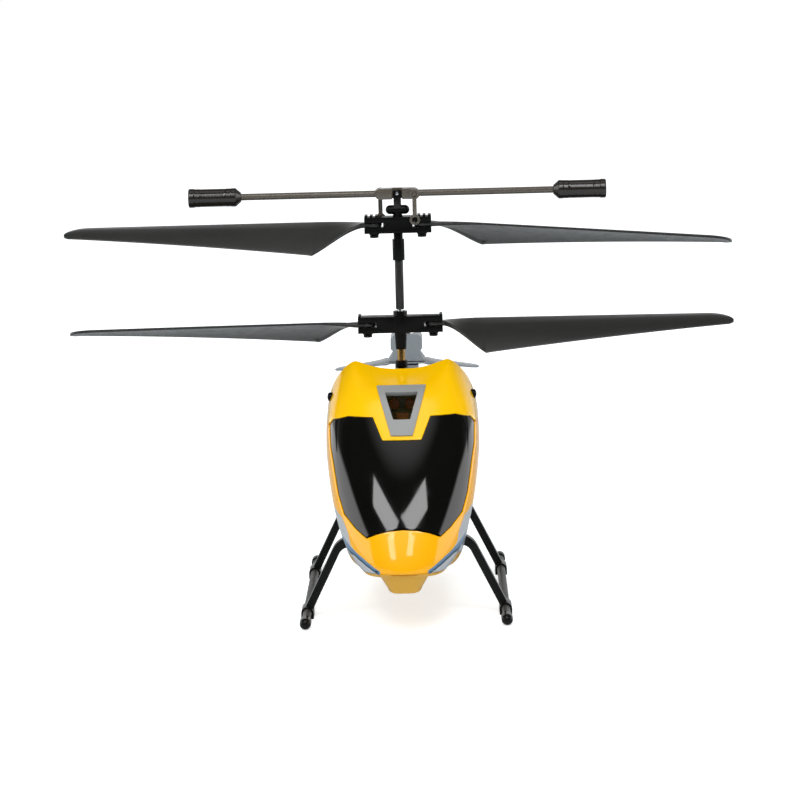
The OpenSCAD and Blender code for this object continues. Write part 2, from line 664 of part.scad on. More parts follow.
module cowl_screws() color(black) at_mast() both_sides() {
  u = cowl_end * (arm_y + cowl_screw_d / 2 + nose_reach) / (nose_reach - cowl_back);
  t = (arm_z - cowl_screw_d / 2 - waist(u)) / (roof(u) - waist(u));
  head_x = half_width(u) * pow(1 - pow(t, roof_power(u)), 1 / 2.2) + press_fit;
  translate([head_x, arm_y, arm_z]) rotate([0, 90, 0]) cylinder(d = cowl_screw_d, h = cowl_screw_proud);
  translate([cabin_w / 2 - arm_inset - cowl_screw_len, arm_y, arm_z]) rotate([0, 90, 0])
    cylinder(d = frame_screw_d, h = head_x - cabin_w / 2 + arm_inset + cowl_screw_len);
}

// A leg is a strip that leaves the cabin level, thins as it bends down and ends in a clip round the skid rod.
function leg_side(side) = concat(
  [[leg_inner_x, leg_z + side * leg_root_t / 2]],
  [for (i = [0 : 8]) let(a = leg_rake * i / 8, r = leg_bend_r + side * mix(leg_root_t, leg_t, i / 8) / 2)
    [leg_bend_x + r * sin(a), leg_z - leg_bend_r + r * cos(a)]],
  [[skid_track / 2 + side * leg_t / 2 * sin(leg_rake), clip_z + side * leg_t / 2 * cos(leg_rake)]]);
module leg(y) {
  upper = leg_side(1);
  lower = leg_side(-1);
  outline = concat(upper, [for (i = [len(lower) - 1 : -1 : 0]) lower[i]]);
  translate([0, y, 0]) difference() {
    union() {
      translate([0, leg_w / 2, 0]) rotate([90, 0, 0]) linear_extrude(leg_w) polygon(outline);
      translate([skid_track / 2, 0, clip_z]) along_y(-clip_len / 2) cylinder(d = clip_w, h = clip_len);
      translate([skid_track / 2 - clip_w / 2, -clip_len / 2, 0]) cube([clip_w, clip_len, clip_z]);
    }
    translate([skid_track / 2, 0, clip_z]) along_y(-clip_len)
      cylinder(d = skid_d + 2 * press_fit, h = 2 * clip_len);
  }
}
module right_front_leg() color(black) at_mast() leg(front_leg_y);
module right_rear_leg() color(black) at_mast() leg(rear_leg_y);
module left_front_leg() color(black) at_mast() mirror([1, 0, 0]) leg(front_leg_y);
module left_rear_leg() color(black) at_mast() mirror([1, 0, 0]) leg(rear_leg_y);
module skid(x) translate([x, 0, clip_z]) along_y(skid_front + cap_r)
  cylinder(d = skid_d, h = skid_len - 2 * cap_r);
module left_skid() color(charcoal) at_mast() skid(-skid_track / 2);
module right_skid() color(charcoal) at_mast() skid(skid_track / 2);
module skid_cap() {
  difference() {
    union() {
      sphere(r = cap_r);
      along_y(0) cylinder(r = cap_r, h = cap_len);
    }
    along_y(0) cylinder(d = skid_d + 2 * press_fit, h = cap_len + 1);
  }
}
module skid_caps() color(black) at_mast() both_sides() translate([skid_track / 2, 0, clip_z]) {
  translate([0, skid_front + cap_r, 0]) skid_cap();
  translate([0, skid_front + skid_len - cap_r, 0]) mirror([0, 1, 0]) skid_cap();
}

module tail_boom() color(charcoal) at_mast() translate([0, 0, boom_z]) along_y(boom_root)
  tube(boom_d, boom_bore, tail_reach - boom_root + 2);

// Clamp round the boom's end with the fin under it.
module boom_clamp() color(grey) at_mast() difference() {
  union() {
    translate([-tail_housing_w / 2 + 1.4, tail_reach - housing_len / 2 - 2, boom_z - boom_d / 2 - 1.4])
      cube([tail_housing_w - 2.8, housing_len + 2, clamp_top - boom_z + boom_d / 2 + 1.4]);
    translate([0.7, tail_reach, boom_z - boom_d / 2 - 1.4]) rotate([90, 0, -90]) linear_extrude(1.4)
      polygon([[5, 0.5], [5, -2], [-2, -fin_drop / 2], [4 - fin_reach, -fin_drop], [-fin_reach, 1 - fin_drop],
        [-housing_len / 2, 0.5]]);
  }
  translate([0, 0, boom_z]) along_y(0) cylinder(d = boom_d + 2 * press_fit, h = tail_reach + 2 + press_fit);
}

// Drooping wings either side of a flat seat, thickened where they leave it.
function wing_ring(x) = let(
    half = stabiliser_span / 2,
    t = limit((abs(x) - seat_half) / (half - seat_half), 0, 1),
    end = sqrt(limit((half - abs(x)) / 3, 0.02, 1)),
    chord = mix(housing_len, 7, t) * end,
    thick = (stabiliser_t + 1.2 * pow(1 - t, 8)) * mix(1, 0.75, t) * end,
    y = tail_reach - 0.5 + 1.5 * t,
    z = stabiliser_z + stabiliser_t / 2 - 2.6 * t)
  [for (i = [0 : 11]) let(a = -i * 30)
    [x, y + chord / 2 * cos(a), z + (t == 0 ? stabiliser_t : thick) / 2 * sin(a)]];
module stabiliser() color(grey) at_mast() {
  half = stabiliser_span / 2;
  for (s = [1, -1]) mirror([s < 0 ? 1 : 0, 0, 0])
    skin([for (i = [0 : 12]) wing_ring(housing_foot + (half - housing_foot) * sin(90 * i / 12))]);
  translate([-seat_half, tail_reach - housing_len / 2, stabiliser_z])
    cube([2 * seat_half, housing_len, stabiliser_t]);
}

// Upright box with flared feet, rounded top corners and a bore for the motor.
housing_side = [[housing_foot, 0], [tail_housing_w * 0.45, 2], [tail_housing_w * 0.44, 3.6],
  [tail_housing_w / 2, 4.2], [tail_housing_w / 2, tail_housing_h - 2]];
module tail_motor_housing() color(grey) at_mast() difference() {
  translate([0, tail_reach + housing_len / 2, housing_z])
    rotate([90, 0, 0]) linear_extrude(housing_len) union() {
    polygon(concat(housing_side, [for (i = [4 : -1 : 0]) [-housing_side[i][0], housing_side[i][1]]]));
    translate([-tail_housing_w / 2 + 2, 0]) square([tail_housing_w - 4, tail_housing_h]);
    for (s = [-1, 1]) translate([s * (tail_housing_w / 2 - 2), tail_housing_h - 2]) circle(r = 2);
  }
  translate([0, tail_reach, housing_z - 1])
    cylinder(d = tail_motor_d + 2 * press_fit, h = 2 * tail_housing_h);
}
module tail_motor() color(steel) at_mast() translate([0, tail_reach, housing_z]) difference() {
  cylinder(d = tail_motor_d, h = tail_motor_len);
  translate([0, 0, tail_motor_len - 4]) cylinder(d = tail_shaft_d + 2 * run_fit, h = 5);
}
module tail_rotor() color(charcoal) at_mast() translate([0, tail_reach, tail_rotor_z]) {
  translate([0, 0, -1.3]) cylinder(r = 1.5, h = 2.6);
  translate([0, 0, -tail_rotor_z + housing_z + tail_motor_len - 3.5])
    cylinder(d = tail_shaft_d, h = tail_rotor_z - housing_z - tail_motor_len + 3.5);
  for (a = [0, 180]) rotate(a) rotate([-16, 0, 0]) translate([0, 0, -0.4]) linear_extrude(0.8)
    polygon([[0.5, -1], [3.5, -1.1], [6, -2.6], [tail_rotor_d / 2 - 1.2, -2.4], [tail_rotor_d / 2, -1.2],
      [tail_rotor_d / 2, 0.8], [tail_rotor_d / 2 - 0.8, 1.6], [5, 1.5], [0.5, 1]]);
}

module outer_shaft() color(brass) at_mast() translate([0, 0, upper_gear_z - gear_hub_rise])
  tube(outer_shaft_d, outer_shaft_bore, lower_hub_top - 0.3 - upper_gear_z + gear_hub_rise);
module upper_gear() color(white_nylon) at_mast()
  main_gear(upper_gear_z, outer_shaft_d + 2 * press_fit, left_motor_a);
module lower_gear() color(white_nylon) at_mast()
  main_gear(lower_gear_z, inner_shaft_d + 2 * press_fit, right_motor_a);
module shaft_collar() color(black) at_mast() translate([0, 0, collar_z])
  tube(3.5, outer_shaft_d + 2 * press_fit, collar_h);
module inner_shaft() color(steel) at_mast() translate([0, 0, bottom_plate_z])
  cylinder(d = inner_shaft_d, h = upper_hub_z - 1.2 - bottom_plate_z);
module mast_sleeve() color(charcoal) at_mast() translate([0, 0, lower_hub_top + sleeve_gap])
  tube(mast_sleeve_d, inner_shaft_d + 2 * press_fit, head_skirt_z - lower_hub_top - sleeve_gap);

// A hub's bar with a slot in each end for a blade tab, ribs on top and a boss under each screw.
module hub_bar(length, screw_r, ribs) {
  difference() {
    union() {
      translate([-length / 2, -hub_w / 2, -hub_h / 2]) cube([length, hub_w, hub_h]);
      both_sides() translate([screw_r, 0, -hub_h / 2 - 0.5]) cylinder(d = screw_head_d + 0.4, h = 0.6);
      both_sides() for (i = [0 : ribs - 1]) translate([length / 2 - 0.9 - i * 1.5, -hub_w / 2, hub_h / 2])
        cube([0.8, hub_w, 0.5]);
    }
    both_sides() translate([screw_r - tab_r - slot_end_gap, -hub_w, -tab_t / 2 - tab_play])
      cube([length, 2 * hub_w, tab_t + 2 * tab_play]);
    both_sides() translate([screw_r, 0, -hub_h]) cylinder(d = blade_screw_d + 2 * press_fit, h = hub_h + 1.6);
  }
}
module blade_screws(z, screw_r) both_sides() translate([screw_r, 0, z - hub_h / 2 - 0.5]) {
  translate([0, 0, -screw_head_h]) cylinder(d = screw_head_d, h = screw_head_h);
  cylinder(d = blade_screw_d, h = hub_h / 2 + 2);
}
module lower_hub() color(black) at_mast() translate([0, 0, lower_hub_z]) difference() {
  union() {
    hub_bar(lower_hub_len, lower_screw_r, 1);
    translate([0, 0, -hub_h / 2]) cylinder(r = hub_boss_r, h = hub_h);
    translate([0, 0, hub_h / 2]) cylinder(d = 4, h = hub_collar_h);
    translate([0, 0, -hub_h / 2 - hub_skirt_len]) cylinder(d1 = 3, d2 = 3.6, h = hub_skirt_len);
  }
  translate([0, 0, -rotor_gap]) cylinder(d = outer_shaft_d + 2 * press_fit, h = 2 * rotor_gap);
}
module lower_blade_screws() color(steel) at_mast() blade_screws(lower_hub_z, lower_screw_r);
module upper_blade_screws() color(steel) at_mast() blade_screws(upper_hub_z, upper_screw_r);

// Blade outline: how far the edges lie before and behind the screw's line at radius r.
function blade_tip_round(r) = sqrt(limit(1 - pow(limit((r - rotor_d / 2 + 7) / 7, 0, 1), 2), 0.004, 1));
function blade_root(r, r0) = ease((r - r0) / (blade_corner_r - r0));
function lead_edge(r, r0) = mix(1.9, blade_lead, blade_root(r, r0)) * blade_tip_round(r);
function trail_edge(r, r0) = let(
    t = limit((r - blade_corner_r) / (rotor_d / 2 - 7 - blade_corner_r), 0, 1),
    full = mix(blade_chord, blade_tip_chord, t) - blade_lead)
  mix(1.9, full, blade_root(r, r0)) * blade_tip_round(r);
function blade_angle(r, r0) = r < blade_corner_r ? blade_pitch * blade_root(r, r0)
  : mix(blade_pitch, blade_tip_pitch, (r - blade_corner_r) / (rotor_d / 2 - blade_corner_r));

function bow(s) = 4 * s * (1 - s);

// One section of a blade: a thin cambered slice from leading edge to trailing edge.
function blade_ring(r, r0, screw_r, droop) = let(
    a = blade_angle(r, r0),
    lead = lead_edge(r, r0),
    trail = trail_edge(r, r0),
    shares = [0, 0.06, 0.3, 0.65, 0.95, 1],
    full = mix(tab_t, blade_t, blade_root(r, r0)),
    thick = [0.35, 0.8, 1, 0.85, 0.5, 0.3],
    camber = 0.05 * (lead + trail) * blade_root(r, r0),
    lower = [for (i = [0 : 5])
      [lead - shares[i] * (lead + trail), bow(shares[i]) * camber - full / 2 * thick[i]]],
    upper = [for (i = [5 : -1 : 0])
      [lead - shares[i] * (lead + trail), bow(shares[i]) * camber + full / 2 * thick[i]]])
  [for (p = concat(lower, upper))
    [r, p[0] * cos(a) - p[1] * sin(a), p[0] * sin(a) + p[1] * cos(a) - tan(droop) * (r - r0)]];

// A blade lying along +X, with its flat tab in the hub and its leading edge to +Y.
module blade(screw_r, droop) {
  r0 = screw_r + tab_reach;
  tip = rotor_d / 2;
  root_rs = [for (i = [0 : 5]) mix(r0, blade_corner_r, i / 5)];
  span_rs = [for (i = [1 : 5]) mix(blade_corner_r, tip - 7, i / 5)];
  tip_rs = [for (i = [1 : 4]) tip - 7 + 7 * sin(90 * i / 4)];
  difference() {
    union() {
      skin([for (r = concat(root_rs, span_rs, tip_rs)) blade_ring(r, r0, screw_r, droop)]);
      translate([screw_r, -1.9, -tab_t / 2]) cube([tab_reach + 0.6, 3.8, tab_t]);
      translate([screw_r, 0, -tab_t / 2]) cylinder(r = tab_r, h = tab_t);
    }
    translate([screw_r, 0, -tab_t]) cylinder(d = blade_screw_d + 2 * run_fit, h = 2 * tab_t);
  }
}
module lower_right_blade() color(charcoal) at_mast() translate([0, 0, lower_hub_z])
  blade(lower_screw_r, blade_droop);
module lower_left_blade() color(charcoal) at_mast() translate([0, 0, lower_hub_z]) rotate(180)
  blade(lower_screw_r, blade_droop);
module upper_right_blade() color(charcoal) at_mast() translate([0, 0, upper_hub_z]) mirror([0, 1, 0])
  blade(upper_screw_r, slack_droop);
module upper_left_blade() color(charcoal) at_mast() translate([0, 0, upper_hub_z]) rotate(180) mirror([0, 1, 0])
  blade(upper_screw_r, blade_droop);

// The head sits on the inner shaft: skirt, neck through the upper hub, cross clamp and flybar post.
pin_d = 0.9;
post_w = 2.1;
clamp_r = 1.3;
clamp_len = 6.8;
neck_top = upper_hub_z + hub_h / 2 + 0.9;
clamp_z = neck_top + clamp_r - 0.3;
module rotor_head() color(black) at_mast() difference() {
  union() {
    translate([0, 0, head_skirt_z]) cylinder(d = head_skirt_d, h = head_skirt_len);
    translate([0, 0, head_skirt_top - 0.5]) cylinder(r = head_neck_r, h = neck_top + 1 - head_skirt_top);
    translate([-clamp_len / 2 + clamp_r, 0, clamp_z]) rotate([0, 90, 0])
      cylinder(r = clamp_r, h = clamp_len - 2 * clamp_r);
    both_sides() translate([clamp_len / 2 - clamp_r, 0, clamp_z]) sphere(r = clamp_r);
    translate([-post_w / 2, -post_w / 2, clamp_z]) cube([post_w, post_w, flybar_z + 1 - clamp_z]);
  }
  translate([0, 0, head_skirt_z - 1])
    cylinder(d = inner_shaft_d + 2 * press_fit, h = upper_hub_z - head_skirt_z - 0.18);
  translate([-5, 0, upper_hub_z]) rotate([0, 90, 0]) cylinder(d = pin_d + 2 * press_fit, h = 10);
  translate([0, 0, flybar_z]) along_y(-5) cylinder(d = pin_d + 2 * press_fit, h = 10);
}
hub_window_x = 2 * head_neck_r + 0.3;
hub_window_y = 4;
feather_pin_len = hub_window_x + 2.6;
module feather_pin() color(steel) at_mast() translate([-feather_pin_len / 2, 0, upper_hub_z]) rotate([0, 90, 0])
  cylinder(d = pin_d, h = feather_pin_len);

// The upper hub rocks on the feather pin, with a stub for each link.
eye_r = 1.5;
eye_t = 1;
stub_d = 1.1;
stub_z = 1.5;
stub_len = link_y + eye_t / 2 + 0.35 - hub_w / 2;
module upper_hub() color(black) at_mast() translate([0, 0, upper_hub_z]) {
  difference() {
    hub_bar(upper_hub_len, upper_screw_r, 3);
    translate([-hub_window_x / 2, -hub_window_y / 2, -hub_h]) cube([hub_window_x, hub_window_y, 2 * hub_h]);
    translate([-feather_pin_len / 2 - 0.1, 0, 0]) rotate([0, 90, 0])
      cylinder(d = pin_d + 2 * run_fit, h = feather_pin_len + 0.2);
  }
  for (a = [0, 180]) rotate(a) translate([link_x, -hub_w / 2 - stub_len, stub_z]) along_y(0)
    cylinder(d = stub_d, h = stub_len + 0.2);
}

// Smoked one-piece flybar: a yoke round the post, link stubs, and a rod to each side.
yoke_half_x = 6.3;
yoke_half_y = 2.5;
yoke_h = 3;
rod_end = flybar_span / 2 - 1.4;
module flybar() color(smoke) at_mast() translate([0, 0, flybar_z]) {
  difference() {
    union() {
      translate([-yoke_half_x + yoke_h / 2, -yoke_half_y, -yoke_h / 2])
        cube([2 * yoke_half_x - yoke_h, 2 * yoke_half_y, yoke_h]);
      both_sides() translate([yoke_half_x - yoke_h / 2, 0, 0]) along_y(-yoke_half_y)
        cylinder(d = yoke_h, h = 2 * yoke_half_y);
      both_sides() translate([yoke_half_x - 0.5, 0, 0]) rotate([0, 90, 0])
        cylinder(d = flybar_rod_d, h = rod_end - yoke_half_x + 0.5);
    }
    translate([-post_w / 2 - 0.4, -yoke_half_y - 1, -yoke_h])
      cube([post_w + 0.8, yoke_half_y + 1.15 + post_w / 2, 2 * yoke_h]);
    along_y(-5) cylinder(d = pin_d + 2 * run_fit, h = 10);
  }
  for (a = [0, 180]) rotate(a) translate([link_x, -link_y - eye_t / 2 - 0.35, 0]) along_y(0)
    cylinder(d = stub_d, h = link_y + eye_t / 2 + 0.35 - yoke_half_y + 0.2);
}
module flybar_pin() color(steel) at_mast() translate([0, 0, flybar_z]) along_y(-post_w / 2 - 0.3)
  cylinder(d = pin_d, h = post_w / 2 + yoke_half_y + 0.6);

// A hollow smoked barrel with raised rims and a cone towards the mast, round a metal slug.
slug_len = weight_len - 4.6;
slug_d = weight_d - 1.5;
module weight() {
  translate([flybar_span / 2, 0, flybar_z]) rotate([0, -90, 0]) difference() {
    rotate_extrude() polygon([[0, 0], [weight_d / 2 - 0.3, 0], [weight_d / 2, 0.3], [weight_d / 2, 1.5],
      [weight_d / 2 - 0.25, 1.8], [weight_d / 2 - 0.25, weight_len - 3], [weight_d / 2, weight_len - 2.7],
      [weight_d / 2, weight_len - 1.5], [flybar_rod_d / 2 + 0.5, weight_len], [0, weight_len]]);
    translate([0, 0, 1.4]) cylinder(d = flybar_rod_d + 2 * press_fit, h = weight_len);
    translate([0, 0, 1.7]) cylinder(d = slug_d + 2 * press_fit, h = slug_len);
  }
}
module right_weight() color(smoke) at_mast() weight();
module left_weight() color(smoke) at_mast() mirror([1, 0, 0]) weight();
module weight_slugs() color(steel) at_mast() both_sides() translate([flybar_span / 2 - 1.7, 0, flybar_z])
  rotate([0, -90, 0]) tube(slug_d, flybar_rod_d + 2 * press_fit, slug_len);

// A link hangs from the flybar's stub and goes loosely round the hub's stub.
link_play = 0.2;
link_len = flybar_rise - stub_z;
module link() translate([link_x, -link_y, flybar_z]) difference() {
  union() {
    for (z = [0, -link_len]) translate([0, 0, z]) along_y(-eye_t / 2) cylinder(r = eye_r, h = eye_t);
    translate([-0.6, -eye_t / 2, -link_len]) cube([1.2, eye_t, link_len]);
  }
  along_y(-eye_t) cylinder(d = stub_d + 2 * run_fit, h = 2 * eye_t);
  translate([0, 0, -link_len]) along_y(-eye_t) cylinder(d = stub_d + 2 * link_play, h = 2 * eye_t);
}
module front_link() color(smoke) at_mast() link();
module rear_link() color(smoke) at_mast() rotate(180) link();

main_frame();
lower_bearing();
middle_bearing();
top_bearing();
left_motor();
right_motor();
battery();
receiver_board();
board_parts();
switch_body();
charge_socket();
frame_screws();
cabin_shell();
top_cowl();
visor();
vent_bezel();
belly_pan();
cowl_screws();
left_front_leg();
right_front_leg();
left_rear_leg();
right_rear_leg();
left_skid();
right_skid();
skid_caps();
tail_boom();
boom_clamp();
stabiliser();
tail_motor_housing();
tail_motor();
left_pinion();
left_motor_shaft();
right_pinion();
right_motor_shaft();
outer_shaft();
upper_gear();
shaft_collar();
lower_hub();
lower_blade_screws();
lower_right_blade();
lower_left_blade();
inner_shaft();
lower_gear();
mast_sleeve();
rotor_head();
feather_pin();
flybar_pin();
upper_hub();
upper_blade_screws();
upper_right_blade();
upper_left_blade();
flybar();
left_weight();
right_weight();
weight_slugs();
front_link();
rear_link();
tail_rotor();
switch_slider();
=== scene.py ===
import json
import math

import bmesh
import bpy
import numpy as np
from mathutils import Matrix, Vector


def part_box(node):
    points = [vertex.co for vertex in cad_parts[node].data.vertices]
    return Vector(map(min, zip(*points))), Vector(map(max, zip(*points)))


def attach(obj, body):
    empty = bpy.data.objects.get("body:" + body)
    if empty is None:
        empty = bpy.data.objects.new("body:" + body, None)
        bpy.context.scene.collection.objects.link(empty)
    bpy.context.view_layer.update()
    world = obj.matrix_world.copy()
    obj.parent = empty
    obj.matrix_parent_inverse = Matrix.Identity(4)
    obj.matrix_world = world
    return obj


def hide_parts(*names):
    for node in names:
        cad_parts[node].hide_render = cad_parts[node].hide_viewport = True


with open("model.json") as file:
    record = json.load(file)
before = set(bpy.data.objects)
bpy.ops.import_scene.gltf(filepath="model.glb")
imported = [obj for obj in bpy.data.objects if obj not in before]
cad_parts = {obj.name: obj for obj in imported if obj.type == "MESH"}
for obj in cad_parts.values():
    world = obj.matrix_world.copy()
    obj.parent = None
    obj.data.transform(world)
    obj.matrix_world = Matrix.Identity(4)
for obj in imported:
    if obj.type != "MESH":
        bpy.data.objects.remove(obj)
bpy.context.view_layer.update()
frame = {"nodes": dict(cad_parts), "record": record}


# The camera stands a little above the rotors and looks at the nose, a shade from the right.
# Its slight roll is the photograph's own: the mast leans a degree and a half.
scene = bpy.context.scene
scene.view_settings.view_transform = "Standard"
camera_pitch, camera_roll, camera_turn = math.radians(80.75), math.radians(-1.5), math.radians(0.86)
camera_pivot, camera_stand = Vector((0, -0.0452, 0)), Vector((-0.0007, -0.74, 0.178))
camera_data = bpy.data.cameras.new("camera")
camera_data.lens = 117.4
camera_data.sensor_fit = "HORIZONTAL"
camera_data.sensor_width = 36
camera_data.clip_end = 60
camera = bpy.data.objects.new("camera", camera_data)
camera_tilt = Matrix.Rotation(camera_pitch, 4, "X") @ Matrix.Rotation(camera_roll, 4, "Z")
camera_round = Matrix.Translation(camera_pivot) @ Matrix.Rotation(camera_turn, 4, "Z")
camera.matrix_world = camera_round @ Matrix.Translation(camera_stand) @ camera_tilt
scene.collection.objects.link(camera)
scene.camera = camera


# The toy stands on a wide sheet of white card with no visible end.
# The card is lit like the toy and keeps its shadow; a little of its white is added for the camera alone.
def add(tree, kind, inputs=None, **settings):
    """One shader node, with its settings and the values of its unlinked inputs."""
    node = tree.nodes.new(kind)
    for key, value in settings.items():
        setattr(node, key, value)
    for key, value in (inputs or {}).items():
        node.inputs[key].default_value = value
    return node


def join(tree, *links):
    """Links shader nodes: each link is a node, its output, the next node and its input."""
    for node, output, target, slot in links:
        tree.links.new(node.outputs[output], target.inputs[slot])


def ramp(tree, start, end, low, high, way="SMOOTHSTEP"):
    """A node whose value goes from low to high while its input goes from start to end."""
    return add(tree, "ShaderNodeMapRange", {1: start, 2: end, 3: low, 4: high}, interpolation_type=way)


def loop_quads(rows, columns):
    """Quads of a grid that is open along its rows and closed round its columns."""
    i, j = np.meshgrid(np.arange(rows - 1) * columns, np.arange(columns), indexing="ij")
    k = (j + 1) % columns
    return np.stack([i + j, i + k, i + columns + k, i + columns + j], -1).reshape(-1, 4)


card_reach, card_rings, card_sides = 20.0, 8, 64
card_r = (np.arange(1, card_rings + 1) / card_rings) ** 2 * card_reach
card_turns = np.linspace(0, 2 * np.pi, card_sides, endpoint=False)
card_r, card_a = np.meshgrid(card_r, card_turns, indexing="ij")
card_points = np.stack([card_r * np.cos(card_a), card_r * np.sin(card_a), 0 * card_r], -1).reshape(-1, 3)
card_points = np.vstack([card_points, [[0, 0, 0]]])
card_quads = loop_quads(card_rings, card_sides)[:, ::-1]
card_middle = np.full(card_sides, card_rings * card_sides)
card_fan = np.stack([card_middle, np.arange(card_sides), (np.arange(card_sides) + 1) % card_sides], -1)
card_mesh = bpy.data.meshes.new("white_card")
card_mesh.from_pydata(card_points.tolist(), [], card_quads.tolist() + card_fan.tolist())
card = bpy.data.objects.new("white_card", card_mesh)
scene.collection.objects.link(card)
card_paper = bpy.data.materials.new("card_paper")
card_paper.use_nodes = True
tree = card_paper.node_tree
tree.nodes.clear()
paper_path = add(tree, "ShaderNodeLightPath")
paper_white = add(tree, "ShaderNodeBsdfDiffuse", {"Color": (0.78, 0.83, 0.86, 1)})
paper_at = add(tree, "ShaderNodeTexCoord")
paper_away = add(tree, "ShaderNodeVectorMath", operation="LENGTH")
paper_more = ramp(tree, 0.1, 0.42, 0.62, 0.8)
paper_lift = add(tree, "ShaderNodeMath", operation="MULTIPLY")
paper_glow = add(tree, "ShaderNodeEmission")
paper_sum = add(tree, "ShaderNodeAddShader")
paper_out = add(tree, "ShaderNodeOutputMaterial")
join(tree, (paper_at, "Object", paper_away, 0), (paper_away, "Value", paper_more, 0),
     (paper_more, 0, paper_lift, 1), (paper_path, "Is Camera Ray", paper_lift, 0),
     (paper_lift, 0, paper_glow, "Strength"), (paper_white, 0, paper_sum, 0), (paper_glow, 0, paper_sum, 1),
     (paper_sum, 0, paper_out, "Surface"))
card_mesh.materials.append(card_paper)


# The room is white behind the toy, with a bright panel along each side that sinks towards the back. It is
# dark above, apart from a bright patch straight overhead. Two pairs of strip boxes hang over the nose in
# a V, and softer lamps, which leave no mirror image, fill in.
world = bpy.data.worlds.new("white_room")
scene.world = world
world.use_nodes = True
tree = world.node_tree
tree.nodes.clear()
room_way = add(tree, "ShaderNodeTexCoord")
room_xyz = add(tree, "ShaderNodeSeparateXYZ")
room_side = add(tree, "ShaderNodeMath", operation="ABSOLUTE")
room_low = ramp(tree, 0.25, 0.7, 1.0, 0.05)
room_back = ramp(tree, 0.0, 0.5, 0.03, 1.0)
room_behind = add(tree, "ShaderNodeMath", operation="MULTIPLY")
panel_rear = add(tree, "ShaderNodeMath", {1: 0.0}, operation="MAXIMUM")
panel_sink = add(tree, "ShaderNodeMath", {1: 0.34}, operation="MULTIPLY")
panel_level = add(tree, "ShaderNodeMath", operation="ADD")
panel_height = add(tree, "ShaderNodeMath", {1: 1.42}, operation="MULTIPLY")
panel_below = add(tree, "ShaderNodeMath", operation="SUBTRACT")
panel_top = ramp(tree, 0.0, 0.16, 0.0, 2.7)
panel_reach = add(tree, "ShaderNodeMath", {1: 0.6}, operation="MULTIPLY")
panel_ahead = add(tree, "ShaderNodeMath", operation="ADD")
panel_front = ramp(tree, 0.0, 0.1, 0.0, 1.0)
panel_glow = add(tree, "ShaderNodeMath", operation="MULTIPLY")
room_zenith = ramp(tree, 0.93, 1.0, 0.0, 1.0)
room_both = add(tree, "ShaderNodeMath", operation="MAXIMUM")
room_glow = add(tree, "ShaderNodeMath", operation="MAXIMUM")
room_path = add(tree, "ShaderNodeLightPath")
room_fill = add(tree, "ShaderNodeMix", {2: 0.46}, data_type="FLOAT")
room_seen = add(tree, "ShaderNodeMath", operation="MAXIMUM")
room_level = add(tree, "ShaderNodeMix", {3: 1.0}, data_type="FLOAT")
room_light = add(tree, "ShaderNodeBackground", {"Color": (1, 1, 1, 1)})
room_out = add(tree, "ShaderNodeOutputWorld")
join(tree, (room_way, "Generated", room_xyz, 0), (room_xyz, "X", room_side, 0),
     (room_xyz, "Z", room_low, 0), (room_xyz, "Y", room_back, 0), (room_low, 0, room_behind, 0),
     (room_back, 0, room_behind, 1), (room_xyz, "Y", panel_rear, 0), (panel_rear, 0, panel_sink, 0),
     (room_xyz, "Z", panel_level, 0), (panel_sink, 0, panel_level, 1), (panel_level, 0, panel_height, 0),
     (room_side, 0, panel_below, 0), (panel_height, 0, panel_below, 1), (panel_below, 0, panel_top, 0),
     (room_side, 0, panel_reach, 0), (panel_reach, 0, panel_ahead, 0), (room_xyz, "Y", panel_ahead, 1),
     (panel_ahead, 0, panel_front, 0), (panel_top, 0, panel_glow, 0), (panel_front, 0, panel_glow, 1),
     (room_xyz, "Z", room_zenith, 0), (room_behind, 0, room_both, 0), (panel_glow, 0, room_both, 1),
     (room_both, 0, room_glow, 0), (room_zenith, 0, room_glow, 1),
     (room_path, "Is Glossy Ray", room_fill, 0), (room_glow, 0, room_fill, 3),
     (room_path, "Is Camera Ray", room_seen, 0), (room_path, "Is Transmission Ray", room_seen, 1),
     (room_seen, 0, room_level, 0), (room_fill, 0, room_level, 2), (room_level, 0, room_light, "Strength"),
     (room_light, 0, room_out, "Surface"))


def soft_box(name, place, aim, width, height, watts, roll=0.0, mirrored=True):
    """A flat lamp of the given width and height at one point, facing another and rolled about that line."""
    lamp = bpy.data.lights.new(name, "AREA")
    lamp.shape = "RECTANGLE"
    lamp.size = width
    lamp.size_y = height
    lamp.energy = watts
    box = bpy.data.objects.new(name, lamp)
    way = Vector(aim) - Vector(place)
    turn = way.to_track_quat("-Z", "Y").to_matrix().to_4x4() @ Matrix.Rotation(math.radians(roll), 4, "Z")
    box.matrix_world = Matrix.Translation(place) @ turn
    box.visible_glossy = mirrored
    scene.collection.objects.link(box)


nose, deck = (0, -0.09, 0.036), (0, -0.02, 0.05)
soft_box("left_strip_box", (-0.224, -0.456, 0.64), nose, 0.157, 0.343, watts=1.32, roll=75)
soft_box("right_strip_box", (0.134, -0.456, 0.64), nose, 0.157, 0.297, watts=1.15, roll=-71)
soft_box("left_front_box", (-0.234, -0.855, 0.638), nose, 0.14, 0.33, watts=1.1, roll=14)
soft_box("right_front_box", (0.101, -0.849, 0.679), nose, 0.11, 0.27, watts=0.7, roll=-14)
soft_box("front_fill_box", (0.1, -0.8, 0.76), nose, 0.6, 0.5, watts=0.4, mirrored=False)
soft_box("overhead_box", (0, 0.1, 1.2), deck, 0.7, 0.7, watts=3.0, mirrored=False)


# The frame inside the cabin: one black moulding of three plates and two walls on the mast's line.
# It carries the motors, the mast's bearings, the tail boom and the arms that the cowl is screwed to.
body_of = {node: body for body, nodes in frame["record"]["behaviour"]["bodies"].items() for node in nodes}


